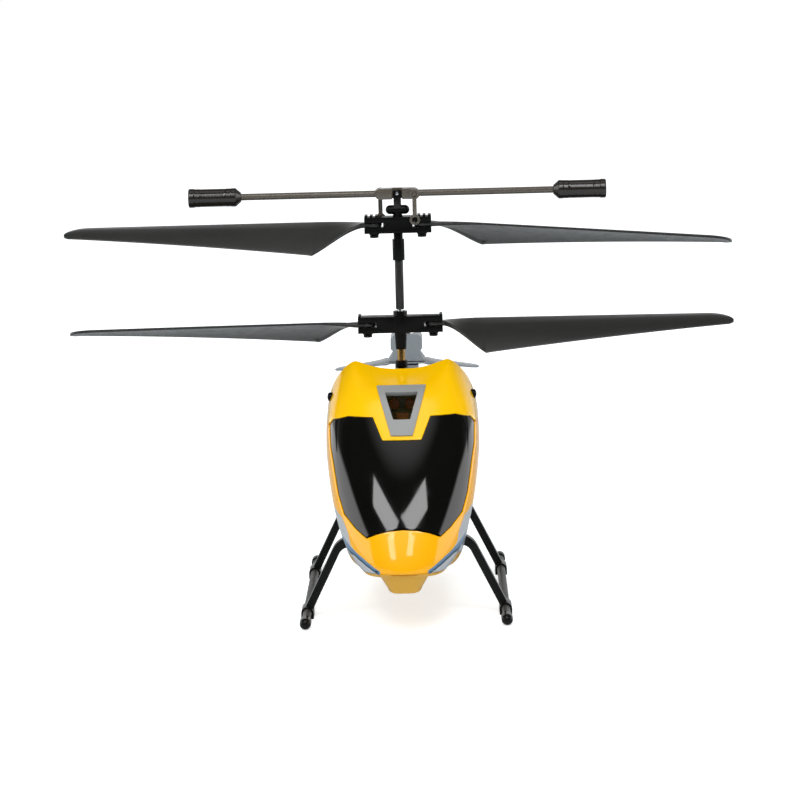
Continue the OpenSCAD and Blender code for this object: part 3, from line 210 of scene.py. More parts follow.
def settle(piece, smooth):
    """Makes a piece's modifiers final and shades it smooth, except over edges sharper than the angle."""
    graph = bpy.context.evaluated_depsgraph_get()
    mesh = bpy.data.meshes.new_from_object(piece.evaluated_get(graph))
    piece.modifiers.clear()
    piece.data = mesh
    mesh.shade_smooth()
    mesh.set_sharp_from_angle(angle=math.radians(smooth))


def rounded(node, material, radius, segments=2):
    """A copy of a CAD solid: loose triangles merged to whole faces, and sharp edges rounded."""
    mesh = frame["nodes"][node].data.copy()
    flat_angle, sharp_angle, shade_angle = math.radians(0.6), math.radians(34), 32
    solid = bmesh.new()
    solid.from_mesh(mesh)
    bmesh.ops.remove_doubles(solid, verts=solid.verts, dist=3e-6)
    bmesh.ops.dissolve_limit(solid, angle_limit=flat_angle, verts=solid.verts, edges=solid.edges)
    solid.to_mesh(mesh)
    solid.free()
    mesh.materials.clear()
    mesh.materials.append(material)
    mesh.polygons.foreach_set("material_index", np.zeros(len(mesh.polygons), np.int32))
    piece = bpy.data.objects.new(node + "_piece", mesh)
    scene.collection.objects.link(piece)
    if radius:
        edge = piece.modifiers.new("edge", "BEVEL")
        edge.width = radius / 1000
        edge.segments = segments
        edge.limit_method = "ANGLE"
        edge.angle_limit = sharp_angle
        edge.miter_outer = "MITER_ARC"
    settle(piece, shade_angle)
    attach(piece, body_of[node])
    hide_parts(node)


def linear(red, green, blue):
    """A screen colour from 0 to 255 as the light it stands for."""
    share = np.array([red, green, blue]) / 255
    light = np.where(share <= 0.04045, share / 12.92, ((share + 0.055) / 1.055) ** 2.4)
    return (*light.tolist(), 1.0)


# Clouds, haze and sandy grain of a moulded surface, all on the piece's own coordinates in metres.
moulded_skin = bpy.data.node_groups.new("moulded_skin", "ShaderNodeTree")
for socket in ("Cloud", "Haze", "Grain"):
    moulded_skin.interface.new_socket(socket + " Scale", in_out="INPUT", socket_type="NodeSocketFloat")
    moulded_skin.interface.new_socket(socket, in_out="OUTPUT", socket_type="NodeSocketFloat")
skin_in = add(moulded_skin, "NodeGroupInput")
skin_out = add(moulded_skin, "NodeGroupOutput")
skin_at = add(moulded_skin, "ShaderNodeTexCoord")
for socket, detail in (("Cloud", 3.0), ("Haze", 4.0), ("Grain", 2.0)):
    skin_noise = add(moulded_skin, "ShaderNodeTexNoise", {"Detail": detail, "Roughness": 0.55})
    join(moulded_skin, (skin_at, "Object", skin_noise, "Vector"),
         (skin_in, socket + " Scale", skin_noise, "Scale"), (skin_noise, "Fac", skin_out, socket))


def moulded(name, colour, rough, finish=None, drift=0.1, spread=0.06, grain=0.006, cloud=60.0, haze=400.0,
            sand=3500.0):
    """Moulded plastic: its colour drifts with the clouds, its gloss with the haze, and the grain stands up in
    millimetres. The finish holds plain values for the shader's own sockets."""
    material = bpy.data.materials.new(name)
    material.use_nodes = True
    tree = material.node_tree
    shader = tree.nodes["Principled BSDF"]
    for socket, value in (finish or {}).items():
        shader.inputs[socket].default_value = value
    skin = add(tree, "ShaderNodeGroup", {"Cloud Scale": cloud, "Haze Scale": haze, "Grain Scale": sand},
               node_tree=moulded_skin)
    base = np.array(linear(*colour)[:3])
    dark = (*(base * (1 - drift)).tolist(), 1)
    bright = (*np.minimum(base * (1 + drift), 1).tolist(), 1)
    tint = add(tree, "ShaderNodeMix", {6: dark, 7: bright}, data_type="RGBA")
    gloss = ramp(tree, 0.3, 0.7, max(rough - spread, 0.02), rough + spread, "LINEAR")
    bump = add(tree, "ShaderNodeBump", {"Strength": 1.0, "Distance": grain / 1000})
    join(tree, (skin, "Cloud", tint, 0), (tint, 2, shader, "Base Color"), (skin, "Haze", gloss, 0),
         (gloss, 0, shader, "Roughness"), (skin, "Grain", bump, "Height"), (bump, 0, shader, "Normal"))
    return material


black_nylon = moulded("black_nylon", (7, 7, 6), 0.36, {"Specular IOR Level": 0.11}, grain=0.003, spread=0.05)
rounded("main_frame", black_nylon, 0.25)


# Brass bushes pressed into the frame, and steel motors with drawn cans that stand in its plates.
# Each motor's thin shaft carries a brass pinion that drives one of the two main gears.
drawn_lines = bpy.data.node_groups.new("drawn_lines", "ShaderNodeTree")
drawn_lines.interface.new_socket("Stretch", in_out="INPUT", socket_type="NodeSocketVector")
for socket in ("Lines", "Cloud"):
    drawn_lines.interface.new_socket(socket, in_out="OUTPUT", socket_type="NodeSocketFloat")
lines_in = add(drawn_lines, "NodeGroupInput")
lines_out = add(drawn_lines, "NodeGroupOutput")
lines_at = add(drawn_lines, "ShaderNodeTexCoord")
lines_map = add(drawn_lines, "ShaderNodeVectorMath", operation="MULTIPLY")
lines_fine = add(drawn_lines, "ShaderNodeTexNoise", {"Scale": 1.0, "Detail": 3.0})
lines_wide = add(drawn_lines, "ShaderNodeTexNoise", {"Scale": 220.0, "Detail": 3.0})
join(drawn_lines, (lines_at, "Object", lines_map, 0), (lines_in, "Stretch", lines_map, 1),
     (lines_map, 0, lines_fine, "Vector"), (lines_at, "Object", lines_wide, "Vector"),
     (lines_fine, "Fac", lines_out, "Lines"), (lines_wide, "Fac", lines_out, "Cloud"))


def drawn(name, dark, bright, rough, stretch, depth=0.004):
    """Turned or drawn metal: two tones that follow the clouds, and fine lines drawn out along the stretch."""
    material = bpy.data.materials.new(name)
    material.use_nodes = True
    tree = material.node_tree
    shader = tree.nodes["Principled BSDF"]
    shader.inputs["Metallic"].default_value = 1.0
    lines = add(tree, "ShaderNodeGroup", {"Stretch": stretch}, node_tree=drawn_lines)
    tint = add(tree, "ShaderNodeMix", {6: linear(*dark), 7: linear(*bright)}, data_type="RGBA")
    gloss = ramp(tree, 0.3, 0.7, rough * 0.7, rough * 1.3, "LINEAR")
    bump = add(tree, "ShaderNodeBump", {"Strength": 0.6, "Distance": depth / 1000})
    join(tree, (lines, "Cloud", tint, 0), (tint, 2, shader, "Base Color"), (lines, "Lines", gloss, 0),
         (gloss, 0, shader, "Roughness"), (lines, "Lines", bump, "Height"), (bump, 0, shader, "Normal"))
    return material


bright_steel = drawn("bright_steel", (168, 170, 172), (204, 206, 208), 0.24, (2500, 2500, 300))
turned_brass = drawn("turned_brass", (120, 92, 52), (172, 136, 74), 0.3, (2500, 2500, 200))
for node in ("lower_bearing", "middle_bearing", "top_bearing", "left_pinion", "right_pinion"):
    rounded(node, turned_brass, 0.08)
for node in ("left_motor", "right_motor"):
    rounded(node, bright_steel, 0.25)
for node in ("left_motor_shaft", "right_motor_shaft"):
    rounded(node, bright_steel, 0.1)


# The foil-wrapped cell in the nose, with a soft crinkle in its foil and a folded seam on top.
# It sits on a block that rises from the belly's floor.
cell_foil = moulded("cell_foil", (176, 178, 182), 0.34, {"Metallic": 0.85}, spread=0.1, grain=0.08,
                    sand=900.0)
rounded("battery", cell_foil, 0.7, 3)


# The receiver board stands behind the vent: green laminate with copper tracks under its lacquer.
# Two wound coils, a chip and a small capacitor are soldered to it.
def paint_over(material, mask, colour):
    """Lays a colour, or a node's colour output, over a material's own where the mask, a node's output, is
    1."""
    tree = material.node_tree
    base = tree.nodes["Principled BSDF"].inputs["Base Color"]
    over = add(tree, "ShaderNodeMix", data_type="RGBA")
    if isinstance(colour, tuple):
        over.inputs[7].default_value = colour
    else:
        tree.links.new(colour, over.inputs[7])
    tree.links.new(mask, over.inputs[0])
    tree.links.new(base.links[0].from_socket, over.inputs[6])
    tree.links.new(over.outputs[2], base)


board_lacquer = moulded("board_lacquer", (100, 112, 66), 0.3)
tree = board_lacquer.node_tree
track_at = add(tree, "ShaderNodeTexCoord")
track_lines = add(tree, "ShaderNodeTexWave", {"Scale": 420.0, "Distortion": 3.0, "Detail": 1.0},
                  bands_direction="Z")
track_edge = ramp(tree, 0.62, 0.7, 0.0, 0.6, "LINEAR")
join(tree, (track_at, "Object", track_lines, "Vector"), (track_lines, "Fac", track_edge, 0))
paint_over(board_lacquer, track_edge.outputs[0], linear(150, 128, 74))
rounded("receiver_board", board_lacquer, 0.12)
coil_enamel = moulded("coil_enamel", (206, 136, 62), 0.3)
tree = coil_enamel.node_tree
coil_at = add(tree, "ShaderNodeTexCoord")
coil_turns = add(tree, "ShaderNodeTexWave", {"Scale": 900.0, "Distortion": 0.6}, wave_type="RINGS",
                 rings_direction="Y")
tree.links.new(coil_at.outputs["Object"], coil_turns.inputs["Vector"])
paint_over(coil_enamel, coil_turns.outputs["Fac"], linear(128, 78, 38))
rounded("board_parts", coil_enamel, 0.18)


# Under the floor: the power switch with its pale slider, the charging socket and the two frame screws.
# The switch and the socket are pushed onto pads inside the belly pan.
white_nylon = moulded("white_nylon", (226, 222, 208), 0.4, drift=0.05)
rounded("switch_body", black_nylon, 0.15)
rounded("switch_slider", white_nylon, 0.15)
rounded("charge_socket", black_nylon, 0.12)
rounded("frame_screws", bright_steel, 0.18)


# The cabin is one hollow skin of thin plastic, cut into a shell, a belly pan, a cowl, a visor and a vent
# bezel. Its sections are rounded boxes that grow from the nose, and the roof is hollowed between two
# ridges.
mast_low, mast_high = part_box("inner_shaft")
mast_y = (mast_low.y + mast_high.y) * 500
nose_reach, cowl_back, cabin_rear, cowl_end = 55.0, 4.0, 45.0, 0.51
cabin_half, belly_z, nose_floor_z, nose_z, waist_z, crest_z = 21.75, 13.0, 17.0, 19.3, 46.0, 75.0
deck_z, boom_z, boom_ring, trough, trough_half, seam_z = 60.0, 45.4, 5.5, 6.0, 0.605, 18.6
widest, crest_at, waist_at, waist_sinks, step_at, lift_at, trough_at = 0.5, 0.55, 0.4, 0.6, 0.22, 0.74, 0.32
step_over, trough_over, tip_over, box_over, roof_over = 0.08, 0.19, 0.06, 0.1, 0.45
rim_soft, lean_in, wall, deck_start = 0.03, 0.28, 0.9, cowl_end + 1e-5


def ease(t):
    """A smooth step from 0 to 1: three squares less two cubes."""
    c = np.clip(t, 0, 1)
    return c * c * (3 - 2 * c)


def mix(a, b, t):
    """The value a share t of the way from a to b."""
    return a + (b - a) * t


def swell(t, power, root):
    """A curve that leaves 0 steeply and levels out at 1: one, less a power of what is left, raised to the
    root."""
    return (1 - np.clip(1 - t, 0, 1) ** power) ** root


def corner(t, turn, knee, across, up):
    """Shares of width and height along a quarter superellipse, whose powers are across and up. While t
    goes to the turn, the height rises evenly to the knee; after it, the width falls evenly to nothing."""
    steep = knee * np.clip(t / turn, 0, 1)
    flat = (1 - knee ** up) ** (1 / across) * np.clip((1 - t) / (1 - turn), 0, 1)
    width = np.where(t < turn, (1 - steep ** up) ** (1 / across), flat)
    height = np.where(t < turn, steep, (1 - flat ** across) ** (1 / up))
    return width, height


def cabin_point(u, v, grow=0.0):
    """A point on the cabin, grown outward, in millimetres from the mast's foot. u runs from the nose, 0,
    to the boom, 1. v runs round the section: 0 on the roof's middle, 1 and -1 at the waist, 2 and -2 on
    the belly's middle. Each section is a superellipse above the waist and another below it: the sum of a
    power of the share of the half width and a power of the share of the height is one. Behind the nose
    tip the lower one is nearly a box whose sides lean in, and its floor steps down ahead of the legs. The
    roof loses a hollow whose rim is rounded by a smooth maximum: half of a value plus the root of its
    square and a little."""
    v = (v + 2) % 4 - 2
    side = np.where(v < 0, -1.0, 1.0)
    a = np.abs(v)
    front = cabin_half * swell(u / widest, power=2.6, root=1 / 2.2)
    rear = mix(cabin_half, boom_ring, np.clip(u / widest - 1, 0, 1) ** 2.2)
    half = np.where(u < widest, front, rear) + grow
    waist = mix(nose_z, waist_z, ease(u / waist_at))
    waist = waist + (boom_z - waist_z) * ease((u - waist_sinks) / (1 - waist_sinks))
    rise = mix(nose_z, crest_z, swell(u / crest_at, power=1.2, root=0.72))
    deck = mix(boom_z + boom_ring, deck_z, np.clip((1 - u) / (1 - cowl_end), 0, 1) ** 1.3)
    roof = np.where(u <= cowl_end, rise, deck)
    drop = mix(nose_z, nose_floor_z, swell(u / tip_over, power=2.2, root=0.5))
    drop = mix(drop, belly_z, ease((u - step_at) / step_over))
    lift = mix(belly_z, boom_z - boom_ring, np.clip((u - lift_at) / (1 - lift_at), 0, 1) ** 1.6)
    under = np.where(u < widest, drop, lift)
    up = mix(2.3, 3.4, ease(u / roof_over))
    roof_x, roof_t = corner(np.clip(1 - a, 0, 1), turn=0.5, knee=0.8, across=2.2, up=up)
    roof_x = half * roof_x
    dip = 1 - (np.abs(roof_x) / (trough_half * cabin_half)) ** 2.4
    hollow = trough * ease((u - trough_at) / trough_over) * (dip + np.sqrt(dip * dip + rim_soft)) / 2
    roof_z = waist + (roof - waist + grow) * roof_t - np.where(u > cowl_end, 0.0, hollow)
    boxy = ease(u / box_over)
    across, up = mix(2.4, 4.0, boxy), mix(3.0, 12.0, boxy)
    floor_x, floor_t = corner(np.clip(a - 1, 0, 1), turn=0.6, knee=0.95, across=across, up=up)
    floor_x = half * floor_x * (1 - lean_in * boxy * floor_t ** 1.2)
    floor_z = waist - (waist - under + grow) * floor_t
    x = side * np.where(a < 1, roof_x, floor_x)
    z = np.where(a < 1, roof_z, floor_z)
    ahead = mix(-nose_reach, -cowl_back, u / cowl_end)
    behind = mix(-cowl_back, cabin_rear, (u - cowl_end) / (1 - cowl_end))
    y = np.where(u <= cowl_end, ahead, behind) - grow * np.maximum(1 - u / widest, 0)
    return x, y, z


def front_outline(shares):
    """A closed outline seen from the front, from shares of the half width and of the cabin's height."""
    right = np.array(shares) * (cabin_half, crest_z - belly_z) + (0, belly_z)
    left = right[::-1] * (-1, 1)
    return np.vstack([right, left[(left[:, 0] < 0)]])


def beyond(x, z, outline):
    """Distance from the outline in the front view: to the nearest of its sides, and negative inside it."""
    a = outline
    b = np.roll(outline, -1, axis=0)
    point = np.stack([x, z], -1)[..., None, :]
    along = ((point - a) * (b - a)).sum(-1) / ((b - a) ** 2).sum(-1)
    foot = a + np.clip(along, 0, 1)[..., None] * (b - a)
    away = np.sqrt(((point - foot) ** 2).sum(-1)).min(-1)
    level = (z[..., None] - a[:, 1]) / np.where(b[:, 1] == a[:, 1], 1e-9, b[:, 1] - a[:, 1])
    crosses = (level >= 0) & (level < 1) & (x[..., None] < a[:, 0] + level * (b[:, 0] - a[:, 0]))
    return np.where(crosses.sum(-1) % 2 == 1, -away, away)


def cut_skin(u, v, room, grow=0.0, close=0.2):
    """Grid of the cabin's skin, kept where room is positive, with the last points slid along the skin
    onto the line where room is zero: each step goes down its slope by its value, within a short reach.
    Returns points, quads."""
    u, v = np.meshgrid(u, v, indexing="ij")
    ahead = u <= cowl_end
    per_u, per_v, nudge, reach_u, reach_v, level = 100.0, 45.0, 1e-4, 0.004, 0.01, 1e-3

    def value(u, v):
        """The room at a place on the skin."""
        return room(*cabin_point(u, v, grow), u)

    solid = value(u, v) > close
    rows, columns = solid.shape
    near = np.zeros_like(solid)
    for half in (ahead, ~ahead):
        ring = np.pad(solid & half, 1)
        for i, j in ((0, 0), (0, 1), (0, 2), (1, 0), (1, 2), (2, 0), (2, 1), (2, 2)):
            near |= ring[i:i + rows, j:j + columns] & half
    edge = near & ~solid
    edge_u, edge_v = u[edge], v[edge]
    back = np.where(ahead[edge], -nudge, nudge)
    for step in range(8):
        here = value(edge_u, edge_v)
        slope_u = (value(edge_u + back, edge_v) - here) / back / per_u
        slope_v = (value(edge_u, edge_v + 2 * nudge) - here) / (2 * nudge) / per_v
        pull = here / (slope_u * slope_u + slope_v * slope_v + level)
        edge_u = edge_u - np.clip(pull * slope_u / per_u, -reach_u, reach_u)
        edge_v = edge_v - np.clip(pull * slope_v / per_v, -reach_v, reach_v)
        edge_u = np.where(back < 0, np.clip(edge_u, 0, cowl_end), np.clip(edge_u, deck_start, 1))
    u[edge], v[edge] = edge_u, edge_v
    used = solid | edge
    whole = used[:-1, :-1] & used[1:, :-1] & used[1:, 1:] & used[:-1, 1:]
    firm = solid[:-1, :-1] | solid[1:, :-1] | solid[1:, 1:] | solid[:-1, 1:]
    index = np.arange(rows * columns).reshape(rows, columns)
    quads = np.stack([index[:-1, :-1], index[:-1, 1:], index[1:, 1:], index[1:, :-1]], -1)[whole & firm]
    points = np.stack(cabin_point(u, v, grow), -1).reshape(-1, 3)
    names, quads = np.unique(quads, return_inverse=True)
    return points[names], quads.reshape(-1, 4)


def skin_piece(name, node, material, points, quads, thick=0.0, edge=0.0, marks=None):
    """A skin's grid as a piece: it grows a wall inward, its rim is rounded, and it stands for its CAD node.
    Points are millimetres from the mast's foot. Marks are values of each point that the paint follows."""
    rim_angle, shade_angle = math.radians(50), 48
    mesh = bpy.data.meshes.new(name)
    mesh.from_pydata(((points + (0, mast_y, 0)) / 1000).tolist(), [], quads.tolist())
    for key, values in (marks or {}).items():
        mesh.attributes.new(key, "FLOAT", "POINT").data.foreach_set("value", values.astype(np.float32))
    merged = bmesh.new()
    merged.from_mesh(mesh)
    bmesh.ops.remove_doubles(merged, verts=merged.verts, dist=2e-6)
    bmesh.ops.dissolve_degenerate(merged, edges=merged.edges, dist=2e-6)
    merged.to_mesh(mesh)
    merged.free()
    mesh.materials.append(material)
    piece = bpy.data.objects.new(name, mesh)
    scene.collection.objects.link(piece)
    if thick:
        shell = piece.modifiers.new("wall", "SOLIDIFY")
        shell.thickness = thick / 1000
        shell.offset = -1
        shell.use_even_offset = False
    if edge:
        rim = piece.modifiers.new("rim", "BEVEL")
        rim.width = edge / 1000
        rim.segments = 2
        rim.limit_method = "ANGLE"
        rim.angle_limit = rim_angle
    settle(piece, shade_angle)
    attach(piece, body_of[node])
    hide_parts(node)


visor_line = front_outline([(0, 0.278), (0.18, 0.273), (0.335, 0.2593), (0.46, 0.2411), (0.593, 0.2721),
                            (0.745, 0.3222), (0.818, 0.3949), (0.878, 0.5098), (0.922, 0.5825),
                            (0.933, 0.657), (0.892, 0.691), (0.69, 0.712), (0.368, 0.712), (0.248, 0.623),
                            (0, 0.623)])
cowl_line = front_outline([(0, 0.623), (0.248, 0.623), (0.368, 0.712), (0.69, 0.712), (0.892, 0.691),
                           (0.95, 0.663), (1.3, 0.663), (1.3, 1.4), (0, 1.4)])
bezel_line = front_outline([(0, 0.6424), (0.138, 0.6424), (0.317, 0.8275), (0, 0.8275)])
vent_line = front_outline([(0, 0.7023), (0.108, 0.7023), (0.2115, 0.8053), (0, 0.8053)])


# The cabin shell: nose and sides above the seam, and the deck behind the cowl, with a hole for the mast.
# It is moulded in yellow and lacquered. Its flanks are sprayed silver, with a blue stripe that runs back
# from the nose; along its foot the stripe is darkened with painted shade, for the shadow line beneath it.
visor_gap, cowl_gap, seam_gap, mast_hole_r = 0.24, 0.12, 0.12, 4.6


def shell_room(x, y, z, u):
    """Room left for the shell: above the seam, outside the visor and the cowl, and clear of the mast."""
    front = np.minimum(beyond(x, z, visor_line) - visor_gap, beyond(x, z, cowl_line) - cowl_gap)
    rear = np.hypot(x, y) - mast_hole_r
    return np.minimum(z - seam_z - seam_gap, np.where(u <= cowl_end, front, rear))


front_rows = cowl_end * np.linspace(0, 1, 140) ** 1.8
rear_rows = np.linspace(deck_start, 1, 88)
shell_rows = np.concatenate([front_rows, rear_rows])
shell_points, shell_quads = cut_skin(shell_rows, np.linspace(-2, 2, 301), shell_room)
flank_lacquer = {"Specular IOR Level": 0.15, "Coat Weight": 0.65, "Coat Roughness": 0.05}
flank_paint = moulded("flank_paint", (250, 176, 0), 0.3, flank_lacquer, drift=0.035, grain=0.003, spread=0.05)
tree = flank_paint.node_tree
silver_mark = add(tree, "ShaderNodeAttribute", attribute_name="silver")
stripe_mark = add(tree, "ShaderNodeAttribute", attribute_name="stripe")
silver_from = ramp(tree, 0.0, 0.15, 0.0, 1.0, "LINEAR")
stripe_from = ramp(tree, 0.0, 0.1, 0.0, 1.0, "LINEAR")
stripe_to = ramp(tree, 0.9, 1.0, 1.0, 0.0, "LINEAR")
# Painted shade: the lower part of the stripe turns dark blue, for the shadow line that runs beneath it.
stripe_shade = ramp(tree, 0.5, 0.62, 0.0, 1.0, "LINEAR")
stripe_on = add(tree, "ShaderNodeMath", operation="MULTIPLY")
stripe_blue_and_shade = add(tree, "ShaderNodeMix", {6: linear(92, 126, 158), 7: linear(30, 66, 90)}, data_type="RGBA")
join(tree, (silver_mark, "Fac", silver_from, 0), (stripe_mark, "Fac", stripe_from, 0),
     (stripe_mark, "Fac", stripe_to, 0), (stripe_mark, "Fac", stripe_shade, 0),
     (stripe_from, 0, stripe_on, 0), (stripe_to, 0, stripe_on, 1), (stripe_shade, 0, stripe_blue_and_shade, 0))
paint_over(flank_paint, silver_from.outputs[0], linear(178, 182, 186))
paint_over(flank_paint, stripe_on.outputs[0], stripe_blue_and_shade.outputs[2])
nose_paint_half = 6.4
shell_x, shell_y, shell_z = np.abs(shell_points[:, 0]), shell_points[:, 1], shell_points[:, 2]
silver_top = np.interp(shell_y, [-54, -52, -50, -47.4, -45.6, -44.3, -42.6, -40.5, -36, -26, -12, 60],
                       [19.2, 21.2, 22.7, 24.1, 25.5, 28.2, 30.1, 32.0, 33.5, 36.0, 39.0, 44.0])
stripe_top = np.interp(shell_y, [-54, -52, -50, -47.4, -45, -43, -40, -34, -20, 60],
                       [19.2, 21.2, 22.7, 24.1, 25.3, 26.4, 28.0, 31.0, 36.0, 40.0])
stripe_foot = np.interp(shell_y, [-54, -52, -50, -47.4, -44, -36, -28, -20, 60],
                        [17.8, 19.8, 21.2, 22.6, 23.0, 23.5, 25.0, 31.0, 36.0])
stripe_share = (stripe_top - shell_z) / (stripe_top - stripe_foot)
stripe_share = np.minimum(stripe_share, (shell_x - nose_paint_half) * 2)
silver_share = np.minimum(silver_top - shell_z, shell_x - nose_paint_half)
skin_piece("cabin_skin", "cabin_shell", flank_paint, shell_points, shell_quads, wall,
           edge=0.14, marks={"silver": silver_share, "stripe": stripe_share})


# The belly pan closes the cabin below the seam, and carries a blunt chin under the nose.
# It is the same yellow moulding without lacquer; its colour is paled and dulled with a painted reflection of
# the white floor.
def pan_room(x, y, z, u):
    """Room left for the pan: below the seam."""
    return seam_z - z


pan_rows = np.concatenate([0.5 * np.linspace(0.1, 1, 110) ** 1.8, np.linspace(0.505, 1, 90)])
pan_points, pan_quads = cut_skin(pan_rows, np.linspace(1.2, 2.8, 161), pan_room)
# Painted reflection: the pan's yellow is paler and duller, standing in for the white floor mirrored in it.
pan_yellow_reflection = moulded("pan_yellow_reflection", (222, 168, 52), 0.34, drift=0.05)
skin_piece("belly_skin", "belly_pan", pan_yellow_reflection, pan_points, pan_quads, wall, edge=0.14)
chin_top_x, chin_foot_x, chin_top_y, chin_foot_y = 7.8, 4.84, 16.0, 14.36
chin_edge, chin_edge_z, chin_y, chin_lean, slope_end = 1.2, 13.2, 17.6 - nose_reach, 1.56, 0.8


def chin_point(s, t):
    """The chin: level rounded boxes, with s round each and t from its top to its foot. Their half sizes
    shrink on a straight slope, the foot's edge is a quarter ellipse, and each outline is a superellipse
    of the fifth power."""
    fall = np.clip(t / slope_end, 0, 1)
    turn = np.clip((t - slope_end) / (1 - slope_end), 0, 1) * np.pi / 2
    half_x = mix(chin_top_x, chin_foot_x, fall) - chin_edge * (1 - np.cos(turn))
    half_y = mix(chin_top_y, chin_foot_y, fall) - chin_edge * (1 - np.cos(turn))
    close = np.where(t < 1, 1.0, 0.0)
    z = mix(seam_z, chin_edge_z, fall) - np.sin(turn)
    c, d = np.cos(s), np.sin(s)
    x = half_x * np.sign(c) * np.abs(c) ** (2 / 5) * close
    y = half_y * np.sign(d) * np.abs(d) ** (2 / 5) * close + chin_y + chin_lean * fall
    return np.stack([x, y, z], -1)


def rings(point, sides, steps):
    """Points and quads of a surface that closes round its first parameter, a full turn, at each of the
    steps."""
    s, t = np.meshgrid(np.linspace(0, 2 * np.pi, sides, endpoint=False), steps)
    return point(s, t).reshape(-1, 3), loop_quads(len(steps), sides)


chin_points, chin_quads = rings(chin_point, 128, np.append(np.linspace(0, 0.998, 60), 1))
skin_piece("chin_block", "belly_pan", pan_yellow_reflection, chin_points, chin_quads[:, ::-1])


# The cowl is a separate yellow moulding that hooks over the visor and is screwed to the frame's arms.
# It has a trapezium cut in its brow for the vent bezel, and stays open behind, round the mast.
bezel_lap = 0.5


def cowl_room(x, y, z, u):
    """Room left for the cowl: inside its outline, outside the bezel's cut."""
    return np.minimum(-beyond(x, z, cowl_line), beyond(x, z, bezel_line) + bezel_lap)


cowl_points, cowl_quads = cut_skin(np.linspace(0.14, cowl_end, 190), np.linspace(-1.02, 1.02, 221), cowl_room)
cowl_yellow = moulded("cowl_yellow", (250, 194, 0), 0.17, {"Coat Weight": 0.25}, drift=0.03, grain=0.002,
                      spread=0.04)
skin_piece("cowl_skin", "top_cowl", cowl_yellow, cowl_points, cowl_quads, wall, edge=0.26)


# The visor is one sheet of glossy black plastic, set a quarter of a millimetre below the shell round it.
# It is polished, so only faint wiping marks cloud its gloss.
def visor_room(x, y, z, u):
    """Room left for the visor: inside its outline."""
    return -beyond(x, z, visor_line)


visor_rows = cowl_end * np.linspace(0.02, 0.95, 200) ** 1.5
visor_points, visor_quads = cut_skin(visor_rows, np.linspace(-1.45, 1.45, 241), visor_room, grow=-0.25)
visor_gloss = moulded("visor_gloss", (13, 13, 12), 0.07, drift=0.2, grain=0.0, spread=0.025, haze=150.0)
skin_piece("visor_pane", "visor", visor_gloss, visor_points, visor_quads, wall, edge=0.16)


# The bezel is a grey trapezium frame pushed into the cowl's brow, standing nearly half a millimetre proud.
# The vent through it shows the receiver board in the dark of the cabin.
def bezel_room(x, y, z, u):
    """Room left for the bezel: inside its outline, outside the vent."""
    return np.minimum(-beyond(x, z, bezel_line), beyond(x, z, vent_line))


bezel_points, bezel_quads = cut_skin(np.linspace(0.18, 0.46, 150), np.linspace(-0.42, 0.42, 120), bezel_room,
                                     grow=0.45, close=0.05)
bezel_grey = moulded("bezel_grey", (144, 146, 145), 0.34, drift=0.03, grain=0.001)
skin_piece("bezel_frame", "vent_bezel", bezel_grey, bezel_points, bezel_quads, 1.3, edge=0.24)


# Two black screws hold the cowl to the frame's arms, one on each side, with low domed heads.
# Each head's skirt sinks into the cowl's curved side, and a thin shank runs into the arm.
screw_low, screw_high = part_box("cowl_screws")
screw_y, screw_z = (screw_low.y + screw_high.y) * 500 - mast_y, (screw_low.z + screw_high.z) * 500
screw_top, head_r = screw_high.x * 1000 - 0.3, (screw_high.z - screw_low.z) * 500
dome_end, dome_rise, skirt_depth, shank_depth, shank_share = 0.6, 0.7, 2.4, 7.4, 0.45


def cowl_screw_point(s, t):
    """A screw as a lathe shape about X: t runs along its profile and s round it. The profile is a quarter
    ellipse over the dome, a straight skirt, a step in to the shank and a closed end."""
    turn = np.clip(t / dome_end, 0, 1) * np.pi / 2
    stops = [0, dome_end, 0.7, 0.8, 0.9, 1]
    depth = np.interp(t, stops, [0, 0, skirt_depth, skirt_depth, shank_depth, shank_depth])
    depth = depth + dome_rise * (1 - np.cos(turn))
    radius = np.interp(t, stops, [1, 1, 1, shank_share, shank_share, 0]) * head_r * np.sin(turn)
    return np.stack([screw_top - depth, screw_y + radius * np.cos(s), screw_z + radius * np.sin(s)], -1)


screw_right, screw_quads = rings(cowl_screw_point, 40, np.linspace(0, 1, 41))
skin_piece("cowl_screw_pair", "cowl_screws", black_nylon,
           np.vstack([screw_right, screw_right * (-1, 1, 1)]),
           np.vstack([screw_quads, screw_quads[:, ::-1] + len(screw_right)]))


# Four sprung legs of black nylon leave the belly, bend down and end in clips round the skid rods.
# The skids are two dark rods, and round caps cover their ends.
leg_nylon = moulded("leg_nylon", (15, 15, 14), 0.26, {"Specular IOR Level": 0.15}, grain=0.003, spread=0.05)
rod_plastic = moulded("rod_plastic", (52, 52, 51), 0.5)
for node in ("left_front_leg", "right_front_leg", "left_rear_leg", "right_rear_leg"):
    rounded(node, leg_nylon, 0.5, 4)
for node in ("left_skid", "right_skid"):
    rounded(node, rod_plastic, 0)
rounded("skid_caps", leg_nylon, 0.1)


# The tail: a dark boom, and at its end a grey clamp with the fin, the stabiliser and the tail motor's
# housing. The stabiliser is one thin moulding with drooping wings, and the small tail rotor turns flat
# above the housing.
tail_grey = moulded("tail_grey", (134, 141, 146), 0.3, drift=0.03, grain=0.001)
rounded("tail_boom", rod_plastic, 0.1)
rounded("boom_clamp", tail_grey, 0.35, 3)
rounded("tail_motor_housing", tail_grey, 0.4, 3)
rounded("tail_motor", bright_steel, 0.25)
wing_y, wing_half, wing_sweep, wing_droop = 131.5, 24.5, 1.5, 2.6
wing_root, wing_tip, wing_thick, tip_thin, tip_round, tip_edge = 11.0, 7.0, 1.3, 0.75, 3.0, 0.9
wing_seat, seat_thick, seat_edge, seat_over = 6.548, 1.2, 5.75, 1.2
wing_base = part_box("boom_clamp")[1].z * 1000


